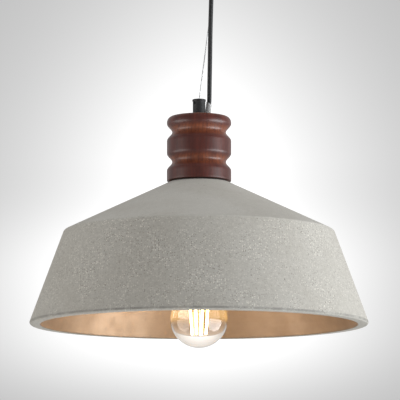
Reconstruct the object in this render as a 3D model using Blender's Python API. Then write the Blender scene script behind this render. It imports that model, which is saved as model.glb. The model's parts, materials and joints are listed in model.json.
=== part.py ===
"""Pendant ceiling light: cast concrete shade, turned wooden collar, steel wire, cord and ceiling canopy.

The origin is on the ceiling, over the ball swivel that the lamp hangs from, with +Z up. The lamp's own
axis stands a little to the left of the swivel and in front of it, because the steel wire leans. Sizes below
are in millimetres and MM turns them into Blender's metres. Heights of the lamp's pieces are measured up
from the plane of the shade's rim, and heights of the ceiling pieces down from the ceiling.
"""

import math

import bmesh
import bpy
from mathutils import Vector

MM = 0.001

# Where the lamp hangs
RIM_Z = -392.0
LAMP_X = -15.2
LAMP_Y = -5.0
SWIVEL_Z = -36.0

# Play left between pieces that touch
PLAY = 0.3

# Shade
SHADE_R = 176.0
SHOULDER_R = 140.7
SHOULDER_Z = 96.8
SHADE_TOP_R = 30.8
SHADE_TOP_Z = 149.3
RIM_INNER_R = 163.5
INNER_SHOULDER_R = 128.5
INNER_SHOULDER_Z = 91.5
INNER_TOP_R = 30.0
INNER_TOP_Z = 138.6
SHADE_HOLE_R = 6.0

# Wooden collar
COLLAR_BASE_Z = 150.4
COLLAR_TOP_Z = 218.2
BEAD_R = 33.6
TOP_FLAT_R = 28.5
TOP_ROUND_H = 6.2
GROOVE_Z = (170.5, 201.9)
GROOVE_DEPTH = 5.5
GROOVE_HALF_H = 9.2
COVE_STEPS = 6
COLLAR_CAVITY_R = 20.0
COLLAR_CAVITY_TOP_Z = 204.0

# Stem tube, wire cap and wire
STEM_R = 4.9
STEM_BORE_R = 3.5
STEM_BASE_Z = 104.5
STEM_TOP_Z = 227.6
CAP_R = 6.6
CAP_LIP_R = 7.1
CAP_TOP_Z = 236.9
CAP_SCREW_Z = 232.6
CAP_SCREW_AZIMUTH = 226.0
WIRE_D = 1.0
WIRE_FOOT_Z = 223.0

# Cord and its sleeve
CORD_D = 4.7
SLEEVE_FOOT = (6.4, 5.0, 200.5)
SLEEVE_HEAD = (10.4, 5.0, 233.0)
SLEEVE_R = 2.95
SLEEVE_BORE_R = 2.65
CORD_IN_SLEEVE = 2.0
CORE_D = 1.6

# Canopy and what is in it
CANOPY_R = 55.0
CANOPY_WALL = 1.2
CANOPY_TOP_Z = -0.5
CANOPY_BASE_Z = -29.4
BARREL_R = 7.0
GLAND_X = -1.8
GLAND_Y = -16.5
GLAND_BORE_R = 4.7
GLAND_R = 5.7
GLAND_RIM_R = 6.8
STRAP_HALF_L = 50.0
STRAP_HALF_W = 10.0
STRAP_T = 2.0
STRAP_DROP = 9.0
SLOT_X = 41.0
SLOT_HALF_W = 2.3
SLOT_HALF_L = 5.0
EARTH_X = -19.0
BLOCK_X = 26.5
BLOCK_PITCH = 9.0

# Bulb and lampholder
BULB_R = 29.8
BULB_CENTRE_Z = 6.3
BULB_GLASS_T = 0.8
BULB_ARC_STEPS = 8
BULB_CAP_BASE_Z = 55.0
THREAD_PITCH = 3.629
THREAD_R = 13.2
THREAD_DEPTH = 0.9
STICK_R = 0.8
STICK_BASE = (7.5, -10.0)
STICK_HEAD = (10.5, 26.0)
STICK_TURN = 70.0

ROUND = 40


def clear_scene():
    """Empty the scene."""
    for obj in list(bpy.data.objects):
        bpy.data.objects.remove(obj, do_unlink=True)


def material(name, colour, roughness, metallic=0.0, alpha=1.0, glow=0.0):
    """A Principled BSDF material."""
    mat = bpy.data.materials.new(name)
    mat.use_nodes = True
    shader = mat.node_tree.nodes["Principled BSDF"]
    shader.inputs["Base Color"].default_value = (*colour, 1.0)
    shader.inputs["Roughness"].default_value = roughness
    shader.inputs["Metallic"].default_value = metallic
    shader.inputs["Alpha"].default_value = alpha
    shader.inputs["Emission Color"].default_value = (*colour, 1.0)
    shader.inputs["Emission Strength"].default_value = glow
    mat.diffuse_color = (*colour, alpha)
    return mat


def place(name, mesh_or_curve, mat, parent, location=(0, 0, 0)):
    """Link a named object with its material under a parent."""
    mesh_or_curve.materials.append(mat)
    obj = bpy.data.objects.new(name, mesh_or_curve)
    bpy.context.scene.collection.objects.link(obj)
    obj.parent = parent
    obj.location = Vector(location) * MM
    return obj


def solid(name, bm, mat, parent, location=(0, 0, 0), sharp=35.0):
    """Turn a bmesh into a named object with outward faces and smooth round sides."""
    bmesh.ops.remove_doubles(bm, verts=bm.verts, dist=0.00001)
    bmesh.ops.recalc_face_normals(bm, faces=bm.faces)
    mesh = bpy.data.meshes.new(name)
    bm.to_mesh(mesh)
    bm.free()
    mesh.shade_smooth()
    mesh.set_sharp_from_angle(angle=math.radians(sharp))
    return place(name, mesh, mat, parent, location)


def rounded(corners, steps=4):
    """An outline from (r, z) or (r, z, fillet radius) corners, with each fillet as an arc."""
    points = []
    for i, corner in enumerate(corners):
        here = Vector(corner[:2])
        if len(corner) < 3:
            points.append(tuple(here))
            continue
        to_last = (Vector(corners[i - 1][:2]) - here).normalized()
        to_next = (Vector(corners[(i + 1) % len(corners)][:2]) - here).normalized()
        half = to_last.angle(to_next) / 2
        centre = here + (to_last + to_next).normalized() * corner[2] / math.sin(half)
        start = here + to_last * corner[2] / math.tan(half) - centre
        end = here + to_next * corner[2] / math.tan(half) - centre
        turn = start.angle_signed(end)
        for k in range(steps + 1):
            angle = -turn * k / steps
            arm = Vector(
                (
                    start.x * math.cos(angle) - start.y * math.sin(angle),
                    start.x * math.sin(angle) + start.y * math.cos(angle),
                )
            )
            points.append(tuple(centre + arm))
    return points


def arc(centre, radius, start, end, steps):
    """Points of an arc in the (r, z) plane, angles in degrees from the +r direction."""
    turns = [math.radians(start + (end - start) * k / steps) for k in range(steps + 1)]
    return [(centre[0] + radius * math.cos(a), centre[1] + radius * math.sin(a)) for a in turns]


def lathe(name, outline, mat, parent, location=(0, 0, 0), sides=ROUND, sharp=35.0):
    """Spin a closed (r, z) outline round the Z axis."""
    bm = bmesh.new()
    verts = [bm.verts.new((r * MM, 0, z * MM)) for r, z in outline]
    count = len(verts)
    edges = [bm.edges.new((verts[i], verts[(i + 1) % count])) for i in range(count)]
    on_axis = [e for e in edges if all(v.co.x < 1e-7 for v in e.verts)]
    edges = [e for e in edges if e not in on_axis]
    if on_axis:
        bmesh.ops.delete(bm, geom=on_axis, context="EDGES_FACES")
    bmesh.ops.spin(
        bm,
        geom=[v for v in verts if v.is_valid] + edges,
        cent=(0, 0, 0),
        axis=(0, 0, 1),
        angle=math.tau,
        steps=sides,
        use_merge=True,
    )
    return solid(name, bm, mat, parent, location, sharp)


def ring_prism(name, outer, bore_r, low, high, mat, parent, location=(0, 0, 0)):
    """A ring from low to high whose outer side is a list of (x, y) points and whose hole is round."""
    bm = bmesh.new()
    inner = []
    for x, y in outer:
        reach = math.hypot(x, y)
        inner.append((x * bore_r / reach, y * bore_r / reach))
    loops = []
    for points, z in ((outer, low), (outer, high), (inner, high), (inner, low)):
        loops.append([bm.verts.new((x * MM, y * MM, z * MM)) for x, y in points])
    count = len(outer)
    for k, loop in enumerate(loops):
        following = loops[(k + 1) % 4]
        for i in range(count):
            j = (i + 1) % count
            bm.faces.new((loop[i], loop[j], following[j], following[i]))
    return solid(name, bm, mat, parent, location, 20.0)


def hexagon(across_flats, per_side=2):
    """Points round a hexagon, in steps that also suit a round hole."""
    points = []
    for k in range(6 * per_side):
        angle = math.tau * k / (6 * per_side)
        off_flat = (angle + math.pi / 6) % (math.pi / 3) - math.pi / 6
        reach = across_flats / 2 / math.cos(off_flat)
        points.append((reach * math.cos(angle), reach * math.sin(angle)))
    return points


def knurl(radius, depth, ridges):
    """Points round a knurled rim: two on each ridge and two in each valley."""
    points = []
    for k in range(4 * ridges):
        reach = radius if k % 4 < 2 else radius - depth
        angle = math.tau * k / (4 * ridges)
        points.append((reach * math.cos(angle), reach * math.sin(angle)))
    return points


def slab(name, outline, low, high, mat, parent, location=(0, 0, 0), axis="Z"):
    """Extrude a flat outline from low to high, along Z, or along Y for an (x, z) outline."""
    bm = bmesh.new()

    def at(p, q, depth):
        return (p * MM, depth * MM, q * MM) if axis == "Y" else (p * MM, q * MM, depth * MM)

    face = bm.faces.new([bm.verts.new(at(p, q, low)) for p, q in outline])
    shift = Vector(at(0, 0, high - low))
    swept = bmesh.ops.extrude_face_region(bm, geom=[face])
    moved = [v for v in swept["geom"] if isinstance(v, bmesh.types.BMVert)]
    bmesh.ops.translate(bm, verts=moved, vec=shift)
    return solid(name, bm, mat, parent, location, 30.0)


def box(name, size, mat, parent, location, bevel=0.0):
    """A box with its centre at location and its edges bevelled."""
    bm = bmesh.new()
    bmesh.ops.create_cube(bm, size=1.0)
    bmesh.ops.scale(bm, vec=Vector(size) * MM, verts=bm.verts)
    if bevel:
        bmesh.ops.bevel(
            bm,
            geom=bm.edges[:],
            offset=bevel * MM,
            segments=2,
            profile=0.5,
            affect="EDGES",
        )
    return solid(name, bm, mat, parent, location, 50.0)


def aim(obj, direction):
    """Turn an object so that its own Z points along a direction."""
    obj.rotation_mode = "QUATERNION"
    obj.rotation_quaternion = Vector(direction).to_track_quat("Z", "Y")


def cutter(name, radius, length, location, parent, direction=(0, 0, 1), sides=20):
    """A hidden cylinder that a Boolean cuts with."""
    outline = [(0, -length / 2), (radius, -length / 2), (radius, length / 2), (0, length / 2)]
    obj = lathe("cut_" + name, outline, MATERIALS["cut"], parent, location, sides)
    aim(obj, direction)
    return hide(obj)


def hide(obj):
    """Keep a cutter out of the model."""
    obj.hide_render = True
    obj.display_type = "WIRE"
    return obj


def cut(target, *tools):
    """Cut each tool out of the target."""
    for tool in tools:
        step = target.modifiers.new(tool.name, "BOOLEAN")
        step.operation = "DIFFERENCE"
        step.solver = "EXACT"
        step.object = tool
    return target


def smooth_route(points, spacing):
    """Evenly spaced points on a Catmull-Rom curve through the route's own points."""
    knots = [Vector(p) for p in points]
    knots = [2 * knots[0] - knots[1], *knots, 2 * knots[-1] - knots[-2]]
    fine = []
    for a, b, c, d in zip(knots, knots[1:], knots[2:], knots[3:]):
        for k in range(20):
            t = k / 20
            fine.append(
                0.5 * (2 * b + (c - a) * t + (2 * a - 5 * b + 4 * c - d) * t * t)
                + 0.5 * (3 * b - a - 3 * c + d) * t**3
            )
    fine.append(knots[-2])
    total = sum((q - p).length for p, q in zip(fine, fine[1:]))
    count = max(2, round(total / spacing))
    placed, walked, target = [fine[0]], 0.0, total / count
    for p, q in zip(fine, fine[1:]):
        step = (q - p).length
        while walked + step >= target and len(placed) < count:
            placed.append(p.lerp(q, (target - walked) / step))
            target += total / count
        walked += step
    placed.append(fine[-1])
    return placed


def tube(name, route, diameter, mat, parent, spacing=2.5, resolution=2):
    """A cord or core: a round bevelled curve with filled ends along a smooth route."""
    curve = bpy.data.curves.new(name, "CURVE")
    curve.dimensions = "3D"
    curve.bevel_depth = diameter / 2 * MM
    curve.bevel_resolution = resolution
    curve.use_fill_caps = True
    points = smooth_route(route, diameter * spacing)
    spline = curve.splines.new("POLY")
    spline.points.add(len(points) - 1)
    for spot, point in zip(spline.points, points):
        spot.co = (*(point * MM), 1.0)
    return place(name, curve, mat, parent)


def empty(name, location, parent=None):
    """A named frame that pieces hang from."""
    obj = bpy.data.objects.new(name, None)
    bpy.context.scene.collection.objects.link(obj)
    obj.empty_display_size = 0.02
    obj.parent = parent
    obj.location = Vector(location) * MM
    return obj


def make_materials():
    """Every material of the lamp, by name."""
    kinds = {
        "concrete": ((0.36, 0.345, 0.31), 0.9),
        "wood": ((0.075, 0.018, 0.009), 0.35),
        "black_metal": ((0.018, 0.018, 0.019), 0.45, 0.4),
        "black_plastic": ((0.012, 0.012, 0.012), 0.5),
        "cord_black": ((0.015, 0.015, 0.016), 0.55),
        "steel": ((0.5, 0.5, 0.5), 0.35, 1.0),
        "zinc": ((0.55, 0.55, 0.53), 0.45, 1.0),
        "brass": ((0.6, 0.4, 0.14), 0.3, 1.0),
        "rubber": ((0.02, 0.02, 0.02), 0.8),
        "fibre": ((0.04, 0.035, 0.03), 0.8),
        "ceramic": ((0.8, 0.78, 0.72), 0.5),
        "clear_sleeve": ((0.6, 0.6, 0.58), 0.25, 0.0, 0.5),
        "core_live": ((0.12, 0.04, 0.015), 0.5),
        "core_neutral": ((0.02, 0.08, 0.35), 0.5),
        "core_earth": ((0.25, 0.4, 0.05), 0.5),
        "bulb_glass": ((0.95, 0.93, 0.88), 0.03, 0.0, 0.25),
        "bulb_metal": ((0.62, 0.62, 0.6), 0.3, 1.0),
        "filament": ((1.0, 0.72, 0.3), 0.5, 0.0, 1.0, 8.0),
        "board": ((0.03, 0.18, 0.06), 0.5),
        "cut": ((0.8, 0.1, 0.1), 0.5),
    }
    return {name: material(name, *values) for name, values in kinds.items()}


def make_bracket(root):
    """Folded steel strap: flat feet on the ceiling and a lowered middle that carries the barrel."""
    top, under = -STRAP_DROP, -STRAP_DROP - STRAP_T
    upper = [(STRAP_HALF_L, 0), (31.5, 0), (28.0, top)]
    lower = [(STRAP_HALF_L, -STRAP_T), (30.0, -STRAP_T), (26.5, under)]
    upper += [(-x, z) for x, z in upper[::-1]]
    lower += [(-x, z) for x, z in lower[::-1]]
    bm = bmesh.new()
    rows = []
    for x, z in upper + lower[::-1]:
        rows.append([bm.verts.new((x * MM, y * MM, z * MM)) for y in (-STRAP_HALF_W, STRAP_HALF_W)])
    for here, following in zip(rows, rows[1:] + rows[:1]):
        bm.faces.new((here[0], here[1], following[1], following[0]))
    last = len(rows) - 1
    for k in range(len(upper) - 1):
        for side in (0, 1):
            corners = (rows[k], rows[k + 1], rows[last - k - 1], rows[last - k])
            bm.faces.new([row[side] for row in corners])
    strap = solid("ceiling_bracket", bm, MATERIALS["zinc"], root, sharp=30.0)
    holes = [cutter("barrel_hole", BARREL_R + 0.4, 10, (0, 0, top - 1), root)]
    holes.append(cutter("earth_hole", 2.0, 10, (EARTH_X, 0, top - 1), root))
    holes.append(cutter("block_hole", 1.9, 10, (BLOCK_X - BLOCK_PITCH / 2, 0, top - 1), root))
    for side, name in ((-1, "cut_slot_left"), (1, "cut_slot_right")):
        run = SLOT_HALF_L - SLOT_HALF_W
        centre = side * SLOT_X
        rim = arc((centre + run, 0), SLOT_HALF_W, -90, 90, 8)
        rim += arc((centre - run, 0), SLOT_HALF_W, 90, 270, 8)
        holes.append(hide(slab(name, rim, -6, 4, MATERIALS["cut"], root)))
    cut(strap, *holes)


def make_hanger(root):
    """Threaded barrel through the strap, with the seat that the swivel ball turns in, and its lock nut."""
    flange_z = -STRAP_DROP - STRAP_T - PLAY
    seat_r, seat_z = 5.3, SWIVEL_Z
    mouth = -48.0
    seat = arc((0, seat_z), seat_r, mouth, 0, 4)
    outline = [
        (5.2, -42.0),
        *seat,
        (5.4, seat_z + 1.0),
        (5.4, -4.0),
        (BARREL_R, -4.0),
        (BARREL_R, flange_z),
        (9.5, flange_z),
        (9.5, flange_z - 2.5),
        (BARREL_R, flange_z - 2.5),
        (BARREL_R, -41.2),
        (6.3, -42.0),
    ]
    lathe("hanger_barrel", outline, MATERIALS["brass"], root, sides=24)
    nut_low = -STRAP_DROP + PLAY
    ring_prism("barrel_nut", hexagon(20), BARREL_R + PLAY, nut_low, nut_low + 4.2, MATERIALS["zinc"], root)


def make_canopy(root):
    """Ceiling canopy, the fibre washer under it and the knurled nut that holds it up."""
    black = MATERIALS["black_metal"]
    inner_r, inner_z = CANOPY_R - CANOPY_WALL, CANOPY_BASE_Z + CANOPY_WALL
    hole_r = BARREL_R + 0.4
    outline = rounded(
        [
            (hole_r, CANOPY_BASE_Z),
            (CANOPY_R, CANOPY_BASE_Z, 5.0),
            (CANOPY_R, CANOPY_TOP_Z),
            (inner_r, CANOPY_TOP_Z),
            (inner_r, inner_z, 3.8),
            (hole_r, inner_z),
        ],
        3,
    )
    canopy = lathe("canopy", outline, black, root)
    cut(canopy, cutter("gland_hole", GLAND_R + PLAY, 8, (GLAND_X, GLAND_Y, CANOPY_BASE_Z), root))
    washer_top = CANOPY_BASE_Z - PLAY
    washer = [(hole_r, washer_top), (9.6, washer_top), (9.6, washer_top - 0.8), (hole_r, washer_top - 0.8)]
    lathe("canopy_washer", washer, MATERIALS["fibre"], root, sides=20)
    nut_top = washer_top - 0.8 - PLAY
    knurled = knurl(9.4, 0.45, 14)
    ring_prism("canopy_nut", knurled, BARREL_R + PLAY, nut_top - 8.0, nut_top, black, root)


def make_gland(root):
    """Bell-mouthed strain relief for the cord, with its nut inside the canopy and its clamp screw."""
    here = (GLAND_X, GLAND_Y, 0)
    black = MATERIALS["black_plastic"]
    face, top = CANOPY_BASE_Z - PLAY, -16.0
    outline = [
        (GLAND_R, top),
        (GLAND_BORE_R, top),
        (GLAND_BORE_R, face - 1.2),
        *arc((GLAND_BORE_R + 1.6, face - 1.2), 1.6, 180, 270, 3)[1:],
        (GLAND_RIM_R, face - 2.4),
        (GLAND_RIM_R, face),
        (GLAND_R, face),
    ]
    gland = lathe("cord_gland", outline, black, root, here, 24)
    cut(gland, cutter("gland_screw_hole", 1.5, 6, (GLAND_X, GLAND_Y - 5, -20), root, (0, 1, 0), 16))
    nut_low = CANOPY_BASE_Z + CANOPY_WALL + PLAY
    ring_prism("gland_nut", hexagon(14), GLAND_R + PLAY, nut_low, nut_low + 3.5, black, root, here)
    screw = [(0, 0), (1.2, 0), (1.2, 4.0), (2.6, 4.0), (2.6, 5.6), (0, 5.6)]
    turned = lathe("gland_screw", screw, black, root, (GLAND_X, GLAND_Y - 2.8, -20), 16)
    aim(turned, (0, -1, 0))


def slotted_screw(name, mat, root, location, head_r, head_h, shank_r, shank_l, direction=(0, 0, 1)):
    """A screw whose head points along a direction, with a slot across it."""
    outline = [(0, -shank_l), (shank_r, -shank_l), (shank_r, 0), (head_r, 0), (head_r, head_h), (0, head_h)]
    screw = lathe(name, outline, mat, root, location, 12)
    aim(screw, direction)
    bar = box("cut_" + name, (head_r * 3, 0.7, 1.0), MATERIALS["cut"], screw, (0, 0, head_h))
    cut(screw, hide(bar))


def make_terminals(root):
    """Terminal block under the strap, its fixing screw, the earth screw, and the cord's fixed tail."""
    under = -STRAP_DROP - STRAP_T
    height, depth = 12.5, 16.0
    centre_z = under - PLAY - height / 2
    size = (3 * BLOCK_PITCH - 0.6, depth, height)
    block = box("terminal_block", size, MATERIALS["ceramic"], root, (BLOCK_X, 0, centre_z), 0.8)
    entries = [BLOCK_X + BLOCK_PITCH * k for k in (-1, 0, 1)]
    holes = []
    for k, x in enumerate(entries):
        holes.append(cutter(f"entry_{k}", 1.7, depth + 4, (x, 0, centre_z), root, (0, 1, 0), 12))
        holes.append(cutter(f"well_{k}", 1.5, height, (x, -4.5, centre_z - height / 2), root, sides=12))
    cut(block, *holes, cutter("fixing", 1.7, 40, (BLOCK_X - BLOCK_PITCH / 2, 0, centre_z), root, sides=16))
    steel = MATERIALS["zinc"]
    fixing = (BLOCK_X - BLOCK_PITCH / 2, 0, centre_z - height / 2 - PLAY)
    slotted_screw("block_screw", steel, root, fixing, 2.6, 1.6, 1.3, 18.0, (0, 0, -1))
    slotted_screw("earth_screw", steel, root, (EARTH_X, 0, under - PLAY), 3.6, 2.0, 1.6, 6.0, (0, 0, -1))
    entry_y = -depth / 2 - 0.4
    start = (GLAND_X, GLAND_Y, -24.0)
    tail_top = (GLAND_X, GLAND_Y, -15.0)
    tube("cord_tail", [start, tail_top], CORD_D - 0.2, MATERIALS["cord_black"], root, 1.0)
    split = tail_top[2] + 0.6
    x, y = GLAND_X, GLAND_Y
    live = [(x + 1.1, y - 0.7, split), (x + 2.6, y - 1.2, split + 2.2), (x + 9, y - 1.0, split + 0.6)]
    live += [(entries[0], entry_y - 2.4, centre_z), (entries[0], entry_y + 3.0, centre_z)]
    neutral = [(x, y + 1.3, split), (x + 2.0, y + 1.6, split + 3.6), (x + 12, y + 1.8, split + 3.2)]
    neutral += [(entries[1], entry_y - 2.4, centre_z), (entries[1], entry_y + 3.0, centre_z)]
    earth = [(x - 1.1, y - 0.7, split), (x - 2.4, y - 0.9, split + 2.0), (x - 8, y + 2, split + 0.6)]
    earth += [(EARTH_X + 2.2, -10.0, under - 3.4), (EARTH_X, -4.4, under - 1.4)]
    tube("core_live_top", live, CORE_D, MATERIALS["core_live"], root)
    tube("core_neutral_top", neutral, CORE_D, MATERIALS["core_neutral"], root)
    tube("core_earth_top", earth, CORE_D, MATERIALS["core_earth"], root)


def make_swivel(pivot):
    """Ball that swings in the barrel's seat, with a flared hole that the wire leaves by."""
    ball_r, pocket_r, throat_r, flare_r = 5.0, 2.2, 1.2, 2.8
    low = math.sqrt(ball_r**2 - flare_r**2)
    top = 3.6
    rim = math.degrees(math.asin(top / ball_r))
    foot = math.degrees(math.asin(-low / ball_r))
    outline = arc((0, 0), ball_r, foot, rim, 6)
    throat_z = -math.sqrt(pocket_r**2 - throat_r**2)
    start = math.degrees(math.asin(throat_z / pocket_r))
    outline += [(pocket_r, top), *arc((0, 0), pocket_r, 0, start, 3)]
    lathe("swivel_ball", outline, MATERIALS["steel"], pivot, sides=20)
    nipple_r, bore = 1.9, WIRE_D / 2 + PLAY
    waist = math.degrees(math.acos(bore / nipple_r))
    turned = arc((0, 0), nipple_r, -waist, waist, 5)
    lathe("wire_nipple", turned, MATERIALS["brass"], pivot, sides=12)


def wire_route():
    """The steel wire's points in the lamp's frame, from inside the cap to the swivel."""
    head = Vector((-LAMP_X, -LAMP_Y, SWIVEL_Z - RIM_Z))
    exit_point = Vector((0, 0, CAP_TOP_Z - 0.6))
    lean = (head - exit_point).normalized()
    inside = [Vector((0, 0, WIRE_FOOT_Z)), Vector((0, 0, WIRE_FOOT_Z + 7))]
    return [*inside, exit_point, exit_point + lean * 6, exit_point + lean * 60, head + lean * 1.6]


def cord_route():
    """The cord's points in the lamp's frame, from inside the sleeve up into the gland."""
    head, foot = Vector(SLEEVE_HEAD), Vector(SLEEVE_FOOT)
    along = (head - foot).normalized()
    top = Vector((GLAND_X - LAMP_X, GLAND_Y - LAMP_Y, -RIM_Z))
    return [
        head - along * CORD_IN_SLEEVE,
        head + along * 2.0,
        Vector((10.8, 4.7, 241.0)),
        Vector((10.95, 3.7, 252.0)),
        Vector((11.4, 0.0, 278.0)),
        Vector((11.9, -5.2, 310.0)),
        Vector((12.8, -10.0, 343.0)),
        Vector((top.x, top.y, -RIM_Z + CANOPY_BASE_Z - 4.6)),
        Vector((top.x, top.y, -RIM_Z + CANOPY_BASE_Z + 0.8)),
    ]


def make_suspension(axis):
    """Steel wire, power cord, clear sleeve, wire cap with its grub screw, and the wire's end ferrule."""
    tube("suspension_wire", wire_route(), WIRE_D, MATERIALS["steel"], axis, 3.0)
    tube("power_cord", cord_route(), CORD_D, MATERIALS["cord_black"], axis, 2.2, 3)
    head, foot = Vector(SLEEVE_HEAD), Vector(SLEEVE_FOOT)
    length = (head - foot).length
    outline = [(SLEEVE_BORE_R, 0), (SLEEVE_R, 0), (SLEEVE_R, length + 2), (SLEEVE_BORE_R, length + 2)]
    sleeve = lathe("cord_sleeve", outline, MATERIALS["clear_sleeve"], axis, foot, 24)
    aim(sleeve, head - foot)
    slant = box("cut_sleeve_end", (16, 16, 8), MATERIALS["cut"], axis, head + Vector((1.6, 0, 4.4)))
    slant.rotation_euler = (0, math.radians(30), 0)
    cut(sleeve, hide(slant))

    base = COLLAR_TOP_Z + PLAY
    cap_outline = rounded(
        [
            (STEM_R + PLAY, base),
            (CAP_R, base),
            (CAP_R, CAP_TOP_Z - 2.4),
            (CAP_LIP_R, CAP_TOP_Z - 1.9),
            (CAP_LIP_R, CAP_TOP_Z, 0.7),
            (1.6, CAP_TOP_Z),
            (0.9, CAP_TOP_Z - 1.6),
            (0.9, STEM_TOP_Z + 1.6),
            (STEM_R + PLAY, STEM_TOP_Z + PLAY),
        ],
        2,
    )
    cap = lathe("wire_cap", cap_outline, MATERIALS["black_metal"], axis, sides=24)
    turn = math.radians(CAP_SCREW_AZIMUTH)
    out = Vector((math.cos(turn), math.sin(turn), 0))
    middle = out * 4.6 + Vector((0, 0, CAP_SCREW_Z))
    cut(cap, cutter("grub_hole", 1.6, 6.4, middle, axis, out, 20))
    grub = [(0, 0), (1.25, 0), (1.25, 3.9), (0.7, 3.9), (0.7, 2.3), (0, 2.3)]
    screw = lathe("grub_screw", grub, MATERIALS["steel"], axis, out * 2.2 + Vector((0, 0, CAP_SCREW_Z)), 18)
    aim(screw, out)

    top = WIRE_FOOT_Z - PLAY
    ferrule = [(0, top - 5), (1.4, top - 5), (1.4, top), (0, top)]
    lathe("wire_ferrule", ferrule, MATERIALS["brass"], axis, sides=16)


def collar_outline():
    """Turned outline of the collar: three beads, two coves and a soft top edge, round a hollow."""
    bore_r = STEM_R + PLAY
    outline = [(COLLAR_CAVITY_R, COLLAR_BASE_Z), (BEAD_R - 0.8, COLLAR_BASE_Z)]
    outline.append((BEAD_R, COLLAR_BASE_Z + 0.8))
    for groove in GROOVE_Z:
        for k in range(COVE_STEPS + 1):
            off = (2 * k / COVE_STEPS - 1) * GROOVE_HALF_H
            cove = math.cos(math.pi / 2 * off / GROOVE_HALF_H) ** 2
            outline.append((BEAD_R - GROOVE_DEPTH * cove, groove + off))
    top_base = COLLAR_TOP_Z - TOP_ROUND_H
    for k in range(1, 5):
        angle = math.pi / 2 * k / 4
        wide = (BEAD_R - TOP_FLAT_R) * math.cos(angle)
        outline.append((TOP_FLAT_R + wide, top_base + TOP_ROUND_H * math.sin(angle)))
    outline += [(bore_r, COLLAR_TOP_Z), (bore_r, COLLAR_CAVITY_TOP_Z)]
    outline.append((COLLAR_CAVITY_R, COLLAR_CAVITY_TOP_Z))
    return outline


def make_body(axis):
    """Collar, gasket, shade, stem tube and the parts that clamp them together."""
    collar = lathe("wood_collar", collar_outline(), MATERIALS["wood"], axis, sides=32)
    head, foot = Vector(SLEEVE_HEAD), Vector(SLEEVE_FOOT)
    middle = (head + foot) / 2
    cut(collar, cutter("sleeve_hole", SLEEVE_R + PLAY, 44, middle, axis, head - foot))

    gasket = [(8, 149.6), (30, 149.6), (30, 150.1), (8, 150.1)]
    lathe("collar_gasket", gasket, MATERIALS["rubber"], axis, sides=20)

    shade = rounded(
        [
            (SHADE_HOLE_R, SHADE_TOP_Z),
            (SHADE_TOP_R, SHADE_TOP_Z),
            (SHOULDER_R, SHOULDER_Z, 3.0),
            (SHADE_R, 0, 2.2),
            (RIM_INNER_R, 0, 1.5),
            (INNER_SHOULDER_R, INNER_SHOULDER_Z, 3.0),
            (INNER_TOP_R, INNER_TOP_Z),
            (SHADE_HOLE_R, INNER_TOP_Z),
        ],
        2,
    )
    lathe("shade", shade, MATERIALS["concrete"], axis, sides=56)

    stem = [(STEM_BORE_R, STEM_BASE_Z), (STEM_R, STEM_BASE_Z)]
    stem += [(STEM_R, STEM_TOP_Z), (STEM_BORE_R, STEM_TOP_Z)]
    tube_body = lathe("stem_tube", stem, MATERIALS["zinc"], axis, sides=20)
    window = box("cut_window", (8, 5.6, 30), MATERIALS["cut"], axis, (5.5, 0.8, 184))
    cut(tube_body, hide(window))

    pad = [(STEM_R + PLAY, 136.3), (22, 136.3), (22, 138.3), (STEM_R + PLAY, 138.3)]
    lathe("clamp_pad", pad, MATERIALS["rubber"], axis, sides=20)
    washer = [(STEM_R + PLAY, 134.3), (24, 134.3), (24, 136.0), (STEM_R + PLAY, 136.0)]
    lathe("clamp_washer", washer, MATERIALS["zinc"], axis, sides=20)
    ring_prism("clamp_nut", hexagon(16), STEM_R + PLAY, 128.6, 134.0, MATERIALS["zinc"], axis)
    ring_prism("earth_tag", hexagon(14), STEM_R + PLAY, 152.0, 155.0, MATERIALS["brass"], axis)


def make_cores(axis):
    """The three cores: through the sleeve, across the collar's hollow and down the stem tube."""
    head, foot = Vector(SLEEVE_HEAD), Vector(SLEEVE_FOOT)
    along = (head - foot).normalized()
    side = along.cross(Vector((0, 1, 0))).normalized()
    back = side.cross(along)
    start = head - along * (CORD_IN_SLEEVE + 1.2)
    live = [(4.6, 3.4, 188), (1.8, 1.6, 179), (1.3, 1.1, 170), (1.3, 1.1, 140), (1.3, 1.1, 104)]
    neutral = [(3.6, 1.6, 190), (0.8, -0.2, 180), (-1.2, -0.6, 170), (-1.2, -0.6, 140)]
    neutral.append((-1.2, -0.6, 104))
    earth = [(9.0, 4.4, 188), (12.0, 2.0, 172), (10.5, -1.0, 160), (8.8, -1.5, 156.2)]
    routes = {"live": (90, live), "neutral": (330, neutral), "earth": (210, earth)}
    for name, (angle, rest) in routes.items():
        turn = math.radians(angle)
        offset = (side * math.cos(turn) + back * math.sin(turn)) * 1.15
        route = [start + offset, (start + foot) / 2 + offset, foot + offset, foot + offset - along * 4]
        route += [Vector(p) for p in rest]
        tube("core_" + name, route, CORE_D, MATERIALS["core_" + name], axis, 3.0)


def thread(radius, depth, low, turns, per_turn=4):
    """Outer (r, z) points of a round-crested thread, bottom to top."""
    points = []
    for k in range(turns * per_turn + 1):
        wave = 0.5 - 0.5 * math.cos(math.tau * k / per_turn)
        points.append((radius - depth + depth * wave, low + THREAD_PITCH * k / per_turn))
    return points


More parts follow.
